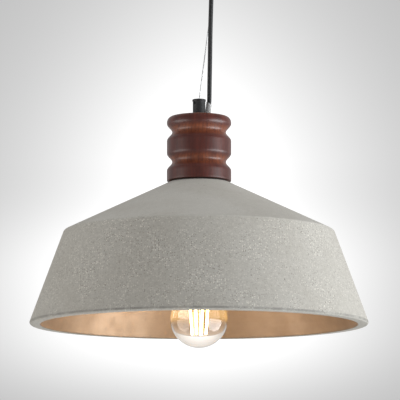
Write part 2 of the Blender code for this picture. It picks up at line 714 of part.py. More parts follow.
def make_holder(axis):
    """E27 lampholder: cover, skirt, ceramic insert, threaded liner and two contacts."""
    black, brass = MATERIALS["black_plastic"], MATERIALS["brass"]
    cover = rounded(
        [
            (STEM_R + PLAY, 122.0),
            (9.5, 122.0, 1.0),
            (9.5, 116.0),
            (20.5, 108.0, 5.0),
            (20.5, 92.5),
            (18.6, 92.5),
            (18.6, 106.6, 3.0),
            (8.0, 112.5),
            (STEM_R + PLAY, 112.5),
        ],
        2,
    )
    lathe("holder_cover", cover, black, axis, sides=20)
    skirt = rounded(
        [(16.4, 57.0), (19.0, 57.0, 0.8), (20.0, 92.2), (17.6, 92.2), (17.6, 84.0), (16.4, 83.0)],
        2,
    )
    lathe("holder_skirt", skirt, black, axis, sides=20)
    insert = [(3.0, 84.6), (16.9, 84.6), (16.9, 98.5), (3.0, 98.5)]
    body = lathe("holder_insert", insert, MATERIALS["ceramic"], axis, sides=24)
    for k, x in enumerate((-10.0, 10.0)):
        cut(body, cutter(f"terminal_{k}", 2.2, 12, (x, 0, 98.5), axis, sides=16))
    crest = thread(14.3, 0.6, 64.0, 4)
    liner = [(14.9, 82.0), (14.9, 61.0), (13.9, 61.0), *crest, (14.3, 82.0)]
    lathe("holder_liner", liner, brass, axis, sides=16)
    for name, x in (("terminal_screw_live", -10.0), ("terminal_screw_neutral", 10.0)):
        slotted_screw(name, brass, axis, (x, 0, 99.0), 1.8, 1.6, 1.2, 3.6)
    tongue = [(-9.0, 83.7), (-3.2, 83.7), (-2.2, 83.1), (3.4, 83.1)]
    tongue += [(3.4, 83.5), (-2.0, 83.5), (-2.9, 84.2), (-9.0, 84.2)]
    slab("centre_contact", tongue, -2.2, 2.2, brass, axis, axis="Y")


def bulb_outline():
    """Glass envelope: sphere below, pulled in to the neck above, as a thin shell open at the neck."""
    centre = (0, BULB_CENTRE_Z)
    outer = arc(centre, BULB_R, -90, 24, BULB_ARC_STEPS)
    bottom = BULB_CENTRE_Z - BULB_R
    outer += [(r, bottom + h) for h, r in ((47.5, 24.4), (54, 20.9), (61, 17.6), (68, 15.4), (77.5, 13.9))]
    outer += [(11.5, bottom + 78.2), (11.5, bottom + 85.5)]
    inner = arc(centre, BULB_R - BULB_GLASS_T, 24, -90, BULB_ARC_STEPS)
    neck = [(r - BULB_GLASS_T, z) for r, z in outer[BULB_ARC_STEPS + 1 :]]
    return outer + neck[::-1] + inner


def make_bulb(axis):
    """A60 LED filament bulb with an E27 cap."""
    lathe("bulb_glass", bulb_outline(), MATERIALS["bulb_glass"], axis, sides=24)
    crest = [(THREAD_R - 0.3, BULB_CAP_BASE_Z), (THREAD_R - 0.3, 57.2)]
    crest += thread(THREAD_R, THREAD_DEPTH, 57.6, 4)
    crest += [(THREAD_R - THREAD_DEPTH, 74.2), (10.5, 77.0), (10.0, 76.6), (11.85, 73.8)]
    crest.append((11.85, BULB_CAP_BASE_Z))
    lathe("bulb_cap", crest, MATERIALS["bulb_metal"], axis, sides=20)
    black = [(4.9, 77.3), (10.2, 77.3), (9.0, 78.4), (5.2, 80.4), (4.9, 80.4)]
    lathe("bulb_insulator", black, MATERIALS["black_plastic"], axis, sides=20)
    tip = [(0, 78.0), (4.5, 78.0), (4.5, 80.8), (5.0, 80.9), (4.2, 81.8), (0, 82.3)]
    lathe("bulb_contact", tip, MATERIALS["brass"], axis, sides=16)
    stem = [(0, 28.0), (1.6, 28.4), (2.2, 31), (2.4, 44), (4.2, 50), (6.5, 56.5), (6.5, 59.5), (0, 59.5)]
    lathe("bulb_stem", stem, MATERIALS["bulb_glass"], axis, sides=16)
    box("bulb_driver", (13.5, 1.6, 13.0), MATERIALS["board"], axis, (0, 0, 67.6), 0.3)

    (foot_r, foot_z), (head_r, head_z) = STICK_BASE, STICK_HEAD
    for k in range(4):
        turn = math.radians(STICK_TURN + 90 * k)
        ray = Vector((math.cos(turn), math.sin(turn), 0))
        foot = ray * foot_r + Vector((0, 0, foot_z))
        head = ray * head_r + Vector((0, 0, head_z))
        length = (head - foot).length
        outline = [(0, 0), (STICK_R * 0.6, 0), (STICK_R, 0.5), (STICK_R, length - 0.5)]
        outline += [(STICK_R * 0.6, length), (0, length)]
        stick = lathe(f"filament_{k + 1}", outline, MATERIALS["filament"], axis, foot, 10)
        aim(stick, head - foot)
    metal = MATERIALS["bulb_metal"]
    post = [(0, foot_z - 0.6), (0.5, foot_z - 0.6), (0.5, head_z + 1.6), (0, head_z + 1.6)]
    lathe("filament_post", post, metal, axis, sides=10)
    for name, reach, z in (("lower", foot_r, foot_z - 1.0), ("upper", head_r, head_z + PLAY)):
        star = []
        for k in range(4):
            turn = math.radians(STICK_TURN + 90 * k)
            ray = Vector((math.cos(turn), math.sin(turn)))
            across = Vector((-ray.y, ray.x)) * 0.4
            corner = math.radians(STICK_TURN - 45 + 90 * k)
            star += [ray * reach - across, ray * reach + across]
            star.append(Vector((math.cos(corner + math.pi / 2), math.sin(corner + math.pi / 2))) * 1.6)
        outline = [tuple(p) for p in star]
        arms = slab("filament_frame_" + name, outline, z, z + 0.5, metal, axis)
        cut(arms, cutter("frame_" + name, 0.8, 4, (0, 0, z), axis, sides=12))


MATERIALS = {}


def main():
    """Build the lamp."""
    clear_scene()
    MATERIALS.update(make_materials())
    root = empty("ceiling_frame", (0, 0, 0))
    pivot = empty("swing_pivot", (0, 0, SWIVEL_Z), root)
    lamp_axis = empty("lamp_axis", (LAMP_X, LAMP_Y, RIM_Z - SWIVEL_Z), pivot)
    bulb_axis = empty("bulb_axis", (0, 0, 0), lamp_axis)
    make_bracket(root)
    make_hanger(root)
    make_canopy(root)
    make_gland(root)
    make_terminals(root)
    make_swivel(pivot)
    make_suspension(lamp_axis)
    make_body(lamp_axis)
    make_cores(lamp_axis)
    make_holder(lamp_axis)
    make_bulb(bulb_axis)


main()
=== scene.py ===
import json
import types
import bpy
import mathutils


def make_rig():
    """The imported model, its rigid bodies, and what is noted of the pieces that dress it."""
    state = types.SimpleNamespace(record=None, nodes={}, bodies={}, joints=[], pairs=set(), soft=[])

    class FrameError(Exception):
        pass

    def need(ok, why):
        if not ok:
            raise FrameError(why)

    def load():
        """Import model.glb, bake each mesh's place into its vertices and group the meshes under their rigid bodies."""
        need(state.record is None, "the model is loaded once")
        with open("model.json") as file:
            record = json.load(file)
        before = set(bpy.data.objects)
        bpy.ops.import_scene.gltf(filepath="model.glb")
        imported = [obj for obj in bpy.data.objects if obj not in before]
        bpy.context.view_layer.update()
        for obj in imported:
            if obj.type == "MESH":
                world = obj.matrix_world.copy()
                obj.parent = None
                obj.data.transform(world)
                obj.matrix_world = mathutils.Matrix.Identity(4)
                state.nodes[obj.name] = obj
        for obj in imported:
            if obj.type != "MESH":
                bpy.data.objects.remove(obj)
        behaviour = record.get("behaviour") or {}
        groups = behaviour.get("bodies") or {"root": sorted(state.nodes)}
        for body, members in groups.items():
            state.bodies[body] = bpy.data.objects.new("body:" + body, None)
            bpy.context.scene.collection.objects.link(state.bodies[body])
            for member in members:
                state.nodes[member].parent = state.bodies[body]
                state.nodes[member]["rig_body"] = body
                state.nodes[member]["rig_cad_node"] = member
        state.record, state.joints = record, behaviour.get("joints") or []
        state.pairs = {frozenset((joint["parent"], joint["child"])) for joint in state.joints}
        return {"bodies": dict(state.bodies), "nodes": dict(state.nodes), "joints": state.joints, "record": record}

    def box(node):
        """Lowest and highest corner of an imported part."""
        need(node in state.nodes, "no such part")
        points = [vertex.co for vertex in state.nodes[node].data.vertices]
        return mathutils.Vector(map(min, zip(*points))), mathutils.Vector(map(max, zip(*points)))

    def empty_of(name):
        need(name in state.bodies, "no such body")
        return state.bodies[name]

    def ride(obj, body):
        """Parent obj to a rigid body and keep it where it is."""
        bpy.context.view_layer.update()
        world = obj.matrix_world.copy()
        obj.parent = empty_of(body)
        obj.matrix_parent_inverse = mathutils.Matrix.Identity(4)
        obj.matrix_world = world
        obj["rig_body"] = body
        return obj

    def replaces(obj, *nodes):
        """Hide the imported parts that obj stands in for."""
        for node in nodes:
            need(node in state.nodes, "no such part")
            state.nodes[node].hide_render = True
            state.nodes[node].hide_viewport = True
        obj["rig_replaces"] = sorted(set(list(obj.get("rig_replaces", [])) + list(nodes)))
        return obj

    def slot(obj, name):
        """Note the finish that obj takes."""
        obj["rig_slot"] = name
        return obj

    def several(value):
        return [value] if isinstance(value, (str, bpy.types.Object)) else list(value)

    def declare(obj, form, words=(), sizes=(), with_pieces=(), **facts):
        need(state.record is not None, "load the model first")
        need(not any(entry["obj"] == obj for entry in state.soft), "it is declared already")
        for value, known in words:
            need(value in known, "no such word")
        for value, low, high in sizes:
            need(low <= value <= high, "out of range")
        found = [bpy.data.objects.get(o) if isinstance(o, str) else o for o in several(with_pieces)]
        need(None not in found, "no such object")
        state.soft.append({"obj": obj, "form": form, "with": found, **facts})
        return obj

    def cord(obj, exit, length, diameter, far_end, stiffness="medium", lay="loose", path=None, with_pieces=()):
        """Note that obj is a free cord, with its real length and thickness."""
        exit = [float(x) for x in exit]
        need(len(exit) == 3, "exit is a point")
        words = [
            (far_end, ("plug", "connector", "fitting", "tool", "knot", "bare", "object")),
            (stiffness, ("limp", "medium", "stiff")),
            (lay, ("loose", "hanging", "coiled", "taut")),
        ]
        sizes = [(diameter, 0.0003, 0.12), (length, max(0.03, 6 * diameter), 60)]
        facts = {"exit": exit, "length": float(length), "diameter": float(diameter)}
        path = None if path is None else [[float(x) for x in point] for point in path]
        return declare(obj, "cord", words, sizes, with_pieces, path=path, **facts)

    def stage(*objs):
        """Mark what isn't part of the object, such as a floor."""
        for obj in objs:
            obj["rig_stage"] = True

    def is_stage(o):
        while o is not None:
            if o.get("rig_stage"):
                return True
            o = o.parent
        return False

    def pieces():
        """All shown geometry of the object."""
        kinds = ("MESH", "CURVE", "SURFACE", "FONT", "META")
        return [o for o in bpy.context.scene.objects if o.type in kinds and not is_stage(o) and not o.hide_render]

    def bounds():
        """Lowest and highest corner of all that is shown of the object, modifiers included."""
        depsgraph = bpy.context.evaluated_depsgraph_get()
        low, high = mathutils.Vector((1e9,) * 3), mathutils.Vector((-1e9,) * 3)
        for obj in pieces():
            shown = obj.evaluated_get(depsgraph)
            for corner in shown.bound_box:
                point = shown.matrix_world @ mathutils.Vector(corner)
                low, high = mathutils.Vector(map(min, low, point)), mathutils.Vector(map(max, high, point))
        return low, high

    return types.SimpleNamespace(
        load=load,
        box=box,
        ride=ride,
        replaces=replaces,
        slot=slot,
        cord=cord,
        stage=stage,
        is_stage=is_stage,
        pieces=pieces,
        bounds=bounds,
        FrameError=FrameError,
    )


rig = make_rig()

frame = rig.load()

import json
import math

import bmesh
import bpy
from mathutils import Vector, noise

# Pendant ceiling light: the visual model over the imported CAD, in one shared frame, in metres
MM = 0.001
CAD_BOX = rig.bounds()

# The lamp's axis, at the height of the shade's rim, and the swivel that it hangs from
LOW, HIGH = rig.box("shade")
RIM = Vector(((LOW.x + HIGH.x) / 2, (LOW.y + HIGH.y) / 2, LOW.z))
BALL = sum(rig.box("wire_nipple"), Vector()) / 2
CANOPY_LOW, CANOPY_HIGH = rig.box("canopy")
GLAND_LOW, GLAND_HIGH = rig.box("cord_gland")
GLAND_X = (GLAND_LOW.x + GLAND_HIGH.x) / 2 - RIM.x
CANOPY_TOP = Vector((BALL.x, BALL.y, CANOPY_HIGH.z + 0.5 * MM))
GLAND_TOP = Vector((RIM.x + GLAND_X, (GLAND_LOW.y + GLAND_HIGH.y) / 2, CANOPY_TOP.z))

# How far the view and the bright wall behind the lamp tilt up, in degrees
PITCH = 7.869

# Shade, in millimetres with heights from its rim, as in all the outlines of the lamp
SHADE_R, RIM_INNER_R, SHADE_HOLE_R = 176.0, 163.5, 6.0
SHOULDER_R, SHOULDER_Z = 140.7, 96.8
INNER_SHOULDER_R, INNER_SHOULDER_Z = 128.5, 91.5
SHADE_TOP_R, SHADE_TOP_Z = 30.8, 149.3
INNER_TOP_R, INNER_TOP_Z = 30.0, 138.6

# Wooden collar
COLLAR_BASE_Z, COLLAR_TOP_Z = 150.4, 218.2
BEAD_R, TOP_FLAT_R, TOP_ROUND_H = 33.6, 28.5, 6.2
GROOVE_Z, GROOVE_DEPTH, GROOVE_HALF_H = (170.5, 201.9), 5.5, 9.2
CAVITY_R, CAVITY_TOP_Z = 20.0, 204.0

# Wire cap, with its grub screw's height and direction
CAP_R, CAP_LIP_R, CAP_BORE_R, WIRE_HOLE_R = 6.6, 7.1, 5.2, 0.9
CAP_BASE_Z, CAP_TOP_Z = 218.5, 236.9
GRUB_Z, GRUB_TURN = 232.6, math.radians(226.0)

# Bulb
BULB_CENTRE_Z, BULB_R, GLASS_WALL = 6.3, 29.8, 0.8
STICK_R, STICK_TURN, STICK_COUNT = 1.15, 70, 4

# Ceiling end, with heights from the top of the canopy's axis
CANOPY_R, CANOPY_BASE_Z, CANOPY_WALL, CANOPY_HOLE_R = 55, -29.4, 1.2, 7.4
GLAND_R, GLAND_BORE_R = 5.7, 4.7
THREAD_PITCH, BALL_R = 1.5, 5.0

# Power cord and wire rope
CORD_R = 2.35
STRANDS, STRAND_LAY = 6, 7.5


# ---------------------------------------------------------------- camera


def make_camera():
    """Long lens below the rim, looking slightly up."""
    data = bpy.data.cameras.new("camera")
    data.sensor_width = 36.0
    data.lens = 237.5
    data.clip_start, data.clip_end = 0.05, 60.0
    camera = bpy.data.objects.new("camera", data)
    bpy.context.scene.collection.objects.link(camera)
    camera.location = RIM + Vector((1.0, -2721.0, -245.3)) * MM
    camera.rotation_euler = (math.radians(90 + PITCH), 0, 0)
    bpy.context.scene.camera = camera
    return camera


# ---------------------------------------------------------------- node materials


class Paint:
    """A node material. Its patterns are laid out in the piece's own millimetres."""

    def __init__(self, name, **uniform):
        """Start a material with its uniform values on the shader's own sockets."""
        self.material = bpy.data.materials.new(name)
        self.material.use_nodes = True
        self.tree = self.material.node_tree
        self.shader = self.tree.nodes["Principled BSDF"]
        for key, value in uniform.items():
            self.shader.inputs[key.replace("_", " ")].default_value = value
        self.mm = self.vector("SCALE", self.add("TexCoord").outputs["Object"], Scale=1000.0)
        parts = self.add("SeparateXYZ", Vector=self.mm)
        self.x, self.y, self.z = parts.outputs

    def add(self, kind, settings=(), **values):
        """A node, with its settings, and its inputs set or linked."""
        node = self.tree.nodes.new("ShaderNode" + kind)
        for key, value in dict(settings).items():
            setattr(node, key, value)
        for key, value in values.items():
            self.feed(node.inputs[key.replace("_", " ")], value)
        return node

    def feed(self, socket, value):
        """Link a socket to another, or give it a value."""
        if isinstance(value, bpy.types.NodeSocket):
            self.tree.links.new(value, socket)
        elif socket.type == "RGBA" and len(value) == 3:
            socket.default_value = (*value, 1.0)
        else:
            socket.default_value = value

    def vector(self, operation, a, b=None, Scale=None):
        """Vector arithmetic."""
        node = self.add("VectorMath", {"operation": operation})
        self.feed(node.inputs[0], a)
        if b is not None:
            self.feed(node.inputs[1], b)
        if Scale is not None:
            self.feed(node.inputs["Scale"], Scale)
        return node.outputs["Value" if operation in ("LENGTH", "DOT_PRODUCT") else "Vector"]

    def math(self, operation, *values):
        """Arithmetic on numbers."""
        node = self.add("Math", {"operation": operation})
        for socket, value in zip(node.inputs, values):
            self.feed(socket, value)
        return node.outputs["Value"]

    def span(self, value, low, high, start=0.0, end=1.0):
        """Map low..high smoothly to start..end and stop there."""
        node = self.add("MapRange", {"interpolation_type": "SMOOTHSTEP"}, Value=value)
        for key, number in zip(("From Min", "From Max", "To Min", "To Max"), (low, high, start, end)):
            node.inputs[key].default_value = number
        return node.outputs["Result"]

    def stretch(self, x, y, z):
        """The piece's coordinates with each axis divided by a length in millimetres."""
        return self.vector("MULTIPLY", self.mm, (1 / x, 1 / y, 1 / z))

    def noise(self, size, detail=2.0, rough=0.5, at=None, warp=0.0):
        """Cloudy noise, with features of about that size in millimetres."""
        scale = 1.0 / size if at is None else 1.0
        return self.add(
            "TexNoise",
            Vector=self.mm if at is None else at,
            Scale=scale,
            Detail=detail,
            Roughness=rough,
            Distortion=warp,
        ).outputs[0]

    def cells(self, size, at=None):
        """Voronoi cells: distance from each cell's middle, and a random number for each cell."""
        node = self.add("TexVoronoi", Vector=self.mm if at is None else at, Scale=1.0 / size)
        chance = self.add("SeparateColor", Color=node.outputs["Color"])
        return node.outputs["Distance"], chance.outputs["Red"]

    def blend(self, factor, a, b, mode="MIX"):
        """Mix two colours."""
        node = self.add("Mix", {"data_type": "RGBA", "blend_type": mode, "clamp_factor": True})
        self.feed(node.inputs[0], factor)
        self.feed(node.inputs[6], a)
        self.feed(node.inputs[7], b)
        return node.outputs[2]

    def bump(self, height, depth, strength=1.0, under=None):
        """A bump from a 0..1 height, depth in millimetres."""
        node = self.add("Bump", Height=height, Strength=strength, Distance=depth * MM)
        if under is not None:
            self.feed(node.inputs["Normal"], under)
        return node.outputs["Normal"]

    def finish(self, **links):
        """Link the shader's inputs and give back the material."""
        for key, value in links.items():
            self.feed(self.shader.inputs[key.replace("_", " ")], value)
        return self.material


def concrete():
    """Cast concrete: a trowelled cone over a band where the sand shows."""
    p = Paint("cast_concrete", Specular_IOR_Level=0.35)
    band = p.span(p.z, 94.5, 97.5, 1.0, 0.16)
    patch = p.span(p.noise(34, 3), 0.36, 0.62, 0.35, 1.0)
    sandy = p.math("MULTIPLY", band, patch)
    cloud = p.noise(70, 4, 0.55)
    tone = p.blend(p.span(cloud, 0.35, 0.65), (0.46, 0.442, 0.402), (0.52, 0.508, 0.472))
    tone = p.blend(p.math("MULTIPLY", band, 0.5), tone, (0.4, 0.375, 0.33))
    cement = p.noise(5, 5, 0.62)
    tone = p.blend(p.span(cement, 0.3, 0.7, 0.0, 0.35), tone, (0.58, 0.565, 0.52))
    near, chance = p.cells(1.7)
    dark = p.math("MULTIPLY", p.span(near, 0.45, 0.22), p.span(chance, 0.42, 0.55))
    near_pale, chance_pale = p.cells(1.9, p.vector("ADD", p.mm, (31.0, 17.0, 5.0)))
    pale = p.math("MULTIPLY", p.span(near_pale, 0.45, 0.22), p.span(chance_pale, 0.42, 0.55))
    dark = p.math("MULTIPLY", dark, sandy)
    pale = p.math("MULTIPLY", pale, sandy)
    tone = p.blend(p.math("MULTIPLY", dark, 0.62), tone, (0.15, 0.13, 0.11))
    tone = p.blend(p.math("MULTIPLY", pale, 0.62), tone, (0.86, 0.83, 0.74))
    dust = p.noise(0.7, 3, 0.7)
    tone = p.blend(p.span(dust, 0.3, 0.7, 0.25, 0.0), tone, (0.2, 0.185, 0.16))
    away = p.vector("LENGTH", p.vector("MULTIPLY", p.mm, (1.0, 1.0, 0.0)))
    # Painted shade: a patchy dark line round the rim's rounded outer corner, 0.3 to 3.8 mm above the rim
    edge = p.math("MULTIPLY", p.span(p.z, 0.3, 1.3), p.span(p.z, 3.8, 2.4))
    edge = p.math("MULTIPLY", edge, p.span(away, 171.5, 173.0))
    edge = p.math("MULTIPLY", edge, p.span(p.noise(11, 3), 0.3, 0.6, 0.25, 0.62))
    tone = p.blend(edge, tone, (0.17, 0.165, 0.15))
    # Painted shade: small pits, dented by a bump below, are darkened inside
    holes, lucky = p.cells(6.5)
    pit = p.math("MULTIPLY", p.span(holes, 0.13, 0.06), p.span(lucky, 0.72, 0.78))
    tone = p.blend(p.math("MULTIPLY", pit, 0.5), tone, (0.12, 0.11, 0.1))
    grain = p.math("SUBTRACT", pale, dark)
    height = p.math("ADD", p.math("MULTIPLY", grain, 0.35), p.math("MULTIPLY", dust, 0.5))
    normal = p.bump(height, 0.28, 0.55)
    normal = p.bump(cement, 0.5, 0.25, normal)
    normal = p.bump(p.span(pit, 0.0, 1.0, 1.0, 0.0), 0.7, 0.8, normal)
    rough = p.span(cement, 0.3, 0.7, 0.82, 0.96)
    return p.finish(Base_Color=tone, Roughness=rough, Normal=normal)


def copper():
    """Satin copper lining, spun round the lamp's axis."""
    p = Paint("satin_copper", Metallic=0.82)
    streak = p.noise(1, 3, 0.6, at=p.stretch(90, 90, 1.6))
    cloud = p.noise(38, 4, 0.6)
    tone = p.blend(p.span(cloud, 0.3, 0.7), (0.275, 0.188, 0.12), (0.325, 0.228, 0.15))
    tone = p.blend(p.span(streak, 0.35, 0.75, 0.0, 0.12), tone, (0.4, 0.3, 0.22))
    spot, lucky = p.cells(9)
    stain = p.math("MULTIPLY", p.span(spot, 0.3, 0.1), p.span(lucky, 0.8, 0.86))
    tone = p.blend(p.math("MULTIPLY", stain, 0.25), tone, (0.4, 0.24, 0.14))
    rough = p.math("ADD", p.span(streak, 0.2, 0.8, 0.44, 0.5), p.span(p.noise(14, 3), 0.3, 0.7, 0.0, 0.1))
    normal = p.bump(p.noise(1, 2, 0.5, at=p.stretch(60, 60, 1.0)), 0.03, 0.3)
    normal = p.bump(p.noise(2.5, 3), 0.06, 0.4, normal)
    return p.finish(Base_Color=tone, Roughness=rough, Normal=normal)


def wood():
    """Turned hardwood, stained dark red-brown, paler and more orange deeper in the coves, under satin lacquer."""
    p = Paint("stained_wood", Coat_Weight=0.75, Coat_Roughness=0.34, Coat_IOR=1.5, Specular_IOR_Level=0.3)
    away = p.vector("LENGTH", p.vector("MULTIPLY", p.mm, (1.0, 1.0, 0.0)))
    pith = p.vector("ADD", p.vector("MULTIPLY", p.mm, (1.0, 1.0, 0.05)), (58.0, 34.0, 0.0))
    wobble = p.noise(1, 3, 0.5, at=p.stretch(22, 22, 90))
    ring = p.math("ADD", p.vector("LENGTH", pith), p.math("MULTIPLY", wobble, 14.0))
    rings = p.math("SINE", p.math("MULTIPLY", ring, 1.9))
    late = p.span(rings, 0.1, 1.0)
    fibre = p.noise(1, 4, 0.6, at=p.stretch(0.55, 0.55, 16))
    pore = p.noise(1, 2, 0.5, at=p.stretch(0.34, 0.34, 5.5))
    pores = p.span(pore, 0.62, 0.72)
    into_cove = p.span(away, 33.2, 28.8)
    streak = p.span(p.noise(1, 3, 0.5, at=p.stretch(7, 7, 40)), 0.38, 0.62)
    dark = p.blend(streak, (0.078, 0.014, 0.0085), (0.112, 0.022, 0.013))
    warm = p.blend(streak, (0.2, 0.05, 0.018), (0.3, 0.085, 0.03))
    tone = p.blend(p.math("MULTIPLY", into_cove, 0.85), dark, warm)
    tone = p.blend(p.math("MULTIPLY", late, 0.34), tone, (0.045, 0.012, 0.009))
    tone = p.blend(p.span(fibre, 0.35, 0.7, 0.0, 0.4), tone, (0.055, 0.014, 0.01))
    tone = p.blend(p.math("MULTIPLY", pores, 0.55), tone, (0.022, 0.007, 0.006))
    rough = p.math("ADD", p.span(fibre, 0.3, 0.7, 0.36, 0.5), p.math("MULTIPLY", pores, 0.15))
    normal = p.bump(p.span(pores, 0.0, 1.0, 1.0, 0.0), 0.12, 0.5)
    normal = p.bump(fibre, 0.1, 0.3, normal)
    coat = p.bump(p.noise(2.2, 3), 0.06, 0.25)
    return p.finish(Base_Color=tone, Roughness=rough, Normal=normal, Coat_Normal=coat)


def powder_coat():
    """Black powder coat with a fine orange peel, rubbed a little at random."""
    p = Paint("black_powder_coat", Specular_IOR_Level=0.5)
    peel = p.noise(0.55, 3, 0.6)
    cloud = p.noise(12, 4)
    tone = p.blend(p.span(cloud, 0.3, 0.7), (0.024, 0.024, 0.025), (0.036, 0.036, 0.037))
    speck, lucky = p.cells(1.4)
    dust = p.math("MULTIPLY", p.span(speck, 0.16, 0.08), p.span(lucky, 0.93, 0.96))
    tone = p.blend(p.math("MULTIPLY", dust, 0.4), tone, (0.12, 0.12, 0.12))
    rough = p.math("ADD", p.span(cloud, 0.3, 0.7, 0.34, 0.46), p.span(peel, 0.3, 0.7, 0.0, 0.08))
    return p.finish(Base_Color=tone, Roughness=rough, Normal=p.bump(peel, 0.05, 0.5))


def moulded(name, low, high, rough=(0.4, 0.55), size=0.4, depth=0.03):
    """Moulded plastic or rubber with a fine texture."""
    p = Paint(name)
    cloud = p.noise(6, 4)
    grain = p.noise(size, 3, 0.6)
    tone = p.blend(p.span(cloud, 0.3, 0.7), low, high)
    finish = p.math("ADD", p.span(cloud, 0.3, 0.7, *rough), p.span(grain, 0.3, 0.7, -0.04, 0.04))
    return p.finish(Base_Color=tone, Roughness=finish, Normal=p.bump(grain, depth, 0.5))


def cord_jacket():
    """Extruded black jacket: faint lines along it, and dust."""
    p = Paint("cord_jacket", Specular_IOR_Level=0.45)
    line = p.noise(1, 3, 0.5, at=p.stretch(0.35, 0.35, 30))
    cloud = p.noise(9, 4, 0.6)
    dust = p.noise(0.5, 3, 0.6)
    tone = p.blend(p.span(cloud, 0.3, 0.7), (0.0125, 0.0125, 0.013), (0.021, 0.021, 0.022))
    tone = p.blend(p.span(dust, 0.55, 0.8, 0.0, 0.12), tone, (0.09, 0.088, 0.085))
    rough = p.math("ADD", p.span(cloud, 0.3, 0.7, 0.36, 0.5), p.span(line, 0.3, 0.7, 0.0, 0.08))
    normal = p.bump(line, 0.05, 0.4)
    return p.finish(Base_Color=tone, Roughness=rough, Normal=p.bump(dust, 0.03, 0.3, normal))


def metal(name, low, high, rough, brushed=(3.0, 3.0, 0.25), depth=0.02):
    """Machined or plated metal, brushed along the axes where the stretch is long."""
    p = Paint(name, Metallic=1.0)
    line = p.noise(1, 4, 0.65, at=p.stretch(*brushed))
    cloud = p.noise(7, 4, 0.6)
    tone = p.blend(p.span(cloud, 0.3, 0.7), low, high)
    tone = p.blend(p.span(line, 0.55, 0.8, 0.0, 0.25), tone, tuple(c * 0.6 for c in low))
    finish = p.math("ADD", p.span(cloud, 0.3, 0.7, *rough), p.span(line, 0.3, 0.7, -0.05, 0.07))
    return p.finish(Base_Color=tone, Roughness=finish, Normal=p.bump(line, depth, 0.4))


def galvanised():
    """Zinc plate with a faint spangle."""
    p = Paint("zinc_plate", Metallic=1.0)
    _, chance = p.cells(3.2)
    cloud = p.noise(5, 4, 0.6)
    line = p.noise(1, 3, 0.6, at=p.stretch(8, 0.3, 8))
    tone = p.blend(p.span(chance, 0.0, 1.0, 0.0, 0.6), (0.45, 0.46, 0.47), (0.68, 0.68, 0.66))
    tone = p.blend(p.span(cloud, 0.55, 0.75, 0.0, 0.4), tone, (0.33, 0.33, 0.33))
    rough = p.math("ADD", p.span(chance, 0.0, 1.0, 0.3, 0.42), p.span(cloud, 0.3, 0.7, 0.0, 0.12))
    return p.finish(Base_Color=tone, Roughness=rough, Normal=p.bump(line, 0.02, 0.3))


def porcelain():
    """Steatite ceramic: off-white, faintly speckled."""
    p = Paint("steatite", Coat_Weight=0.3, Coat_Roughness=0.3)
    speck, lucky = p.cells(1.1)
    mark = p.math("MULTIPLY", p.span(speck, 0.25, 0.12), p.span(lucky, 0.86, 0.9))
    cloud = p.noise(6, 4)
    tone = p.blend(p.span(cloud, 0.3, 0.7), (0.7, 0.67, 0.6), (0.8, 0.78, 0.72))
    tone = p.blend(p.math("MULTIPLY", mark, 0.4), tone, (0.35, 0.31, 0.25))
    rough = p.span(cloud, 0.3, 0.7, 0.4, 0.55)
    return p.finish(Base_Color=tone, Roughness=rough, Normal=p.bump(p.noise(0.8, 3), 0.04, 0.4))


def clear_tube():
    """Clear plastic tubing, slightly milky, drawn lengthways."""
    p = Paint("clear_tubing", Transmission_Weight=0.5, IOR=1.42)
    line = p.noise(1, 3, 0.6, at=p.stretch(0.5, 0.5, 12))
    cloud = p.noise(3, 3)
    tone = p.blend(p.span(cloud, 0.3, 0.7), (0.74, 0.75, 0.75), (0.93, 0.93, 0.92))
    rough = p.math("ADD", p.span(cloud, 0.3, 0.7, 0.08, 0.2), p.span(line, 0.3, 0.7, 0.0, 0.08))
    return p.finish(Base_Color=tone, Roughness=rough, Normal=p.bump(line, 0.05, 0.5))


def lamp_glass():
    """Blown clear glass with faint smears, and a painted reflection: a faint glow, creamy white on the lower bowl and
    amber higher up.
    """
    p = Paint("bulb_glass", Transmission_Weight=1.0, IOR=1.5)
    smear = p.noise(1, 4, 0.6, at=p.stretch(16, 16, 5))
    tone = p.blend(p.span(smear, 0.3, 0.7), (0.985, 0.975, 0.955), (1.0, 0.995, 0.985))
    rough = p.span(smear, 0.45, 0.75, 0.0, 0.03)
    normal = p.bump(p.noise(26, 2), 0.25, 0.15)
    # Painted reflection: emission that stands for light reflected in the glass, creamy white below and amber above
    glow = p.math("ADD", p.span(p.z, 2.0, -15.0, 0.0, 0.105), p.span(p.z, 1.0, 9.0, 0.0, 0.11))
    painted_reflection_tint = p.blend(p.span(p.z, -3.0, 3.0), (1.0, 0.93, 0.84), (1.0, 0.56, 0.12))
    p.finish(Emission_Color=painted_reflection_tint, Emission_Strength=glow)
    return p.finish(Base_Color=tone, Roughness=rough, Normal=normal)


def glowing_filament():
    """Phosphor-coated LED stick, brighter over each chip."""
    p = Paint("glowing_filament", Roughness=0.5, Emission_Strength=34.0)
    chips = p.math("SINE", p.math("MULTIPLY", p.z, math.tau / 1.3))
    glow = p.blend(p.span(chips, -1.0, 1.0), (1.0, 0.62, 0.24), (1.0, 0.74, 0.4))
    skin = p.noise(0.5, 3)
    tone = p.blend(p.span(skin, 0.3, 0.7), (0.9, 0.62, 0.12), (0.95, 0.72, 0.25))
    return p.finish(Base_Color=tone, Emission_Color=glow, Normal=p.bump(skin, 0.05, 0.4))


def insulation(name, low, high, stripe=None):
    """A core's insulation, striped where the colour code asks for it."""
    p = Paint(name)
    cloud = p.noise(4, 3)
    tone = p.blend(p.span(cloud, 0.3, 0.7), low, high)
    if stripe:
        bands = p.math("SINE", p.math("MULTIPLY", p.math("ADD", p.x, p.y), 3.6))
        tone = p.blend(p.span(bands, -0.15, 0.15), tone, stripe)
    rough = p.span(cloud, 0.3, 0.7, 0.32, 0.48)
    return p.finish(Base_Color=tone, Roughness=rough, Normal=p.bump(p.noise(0.5, 2), 0.02, 0.3))


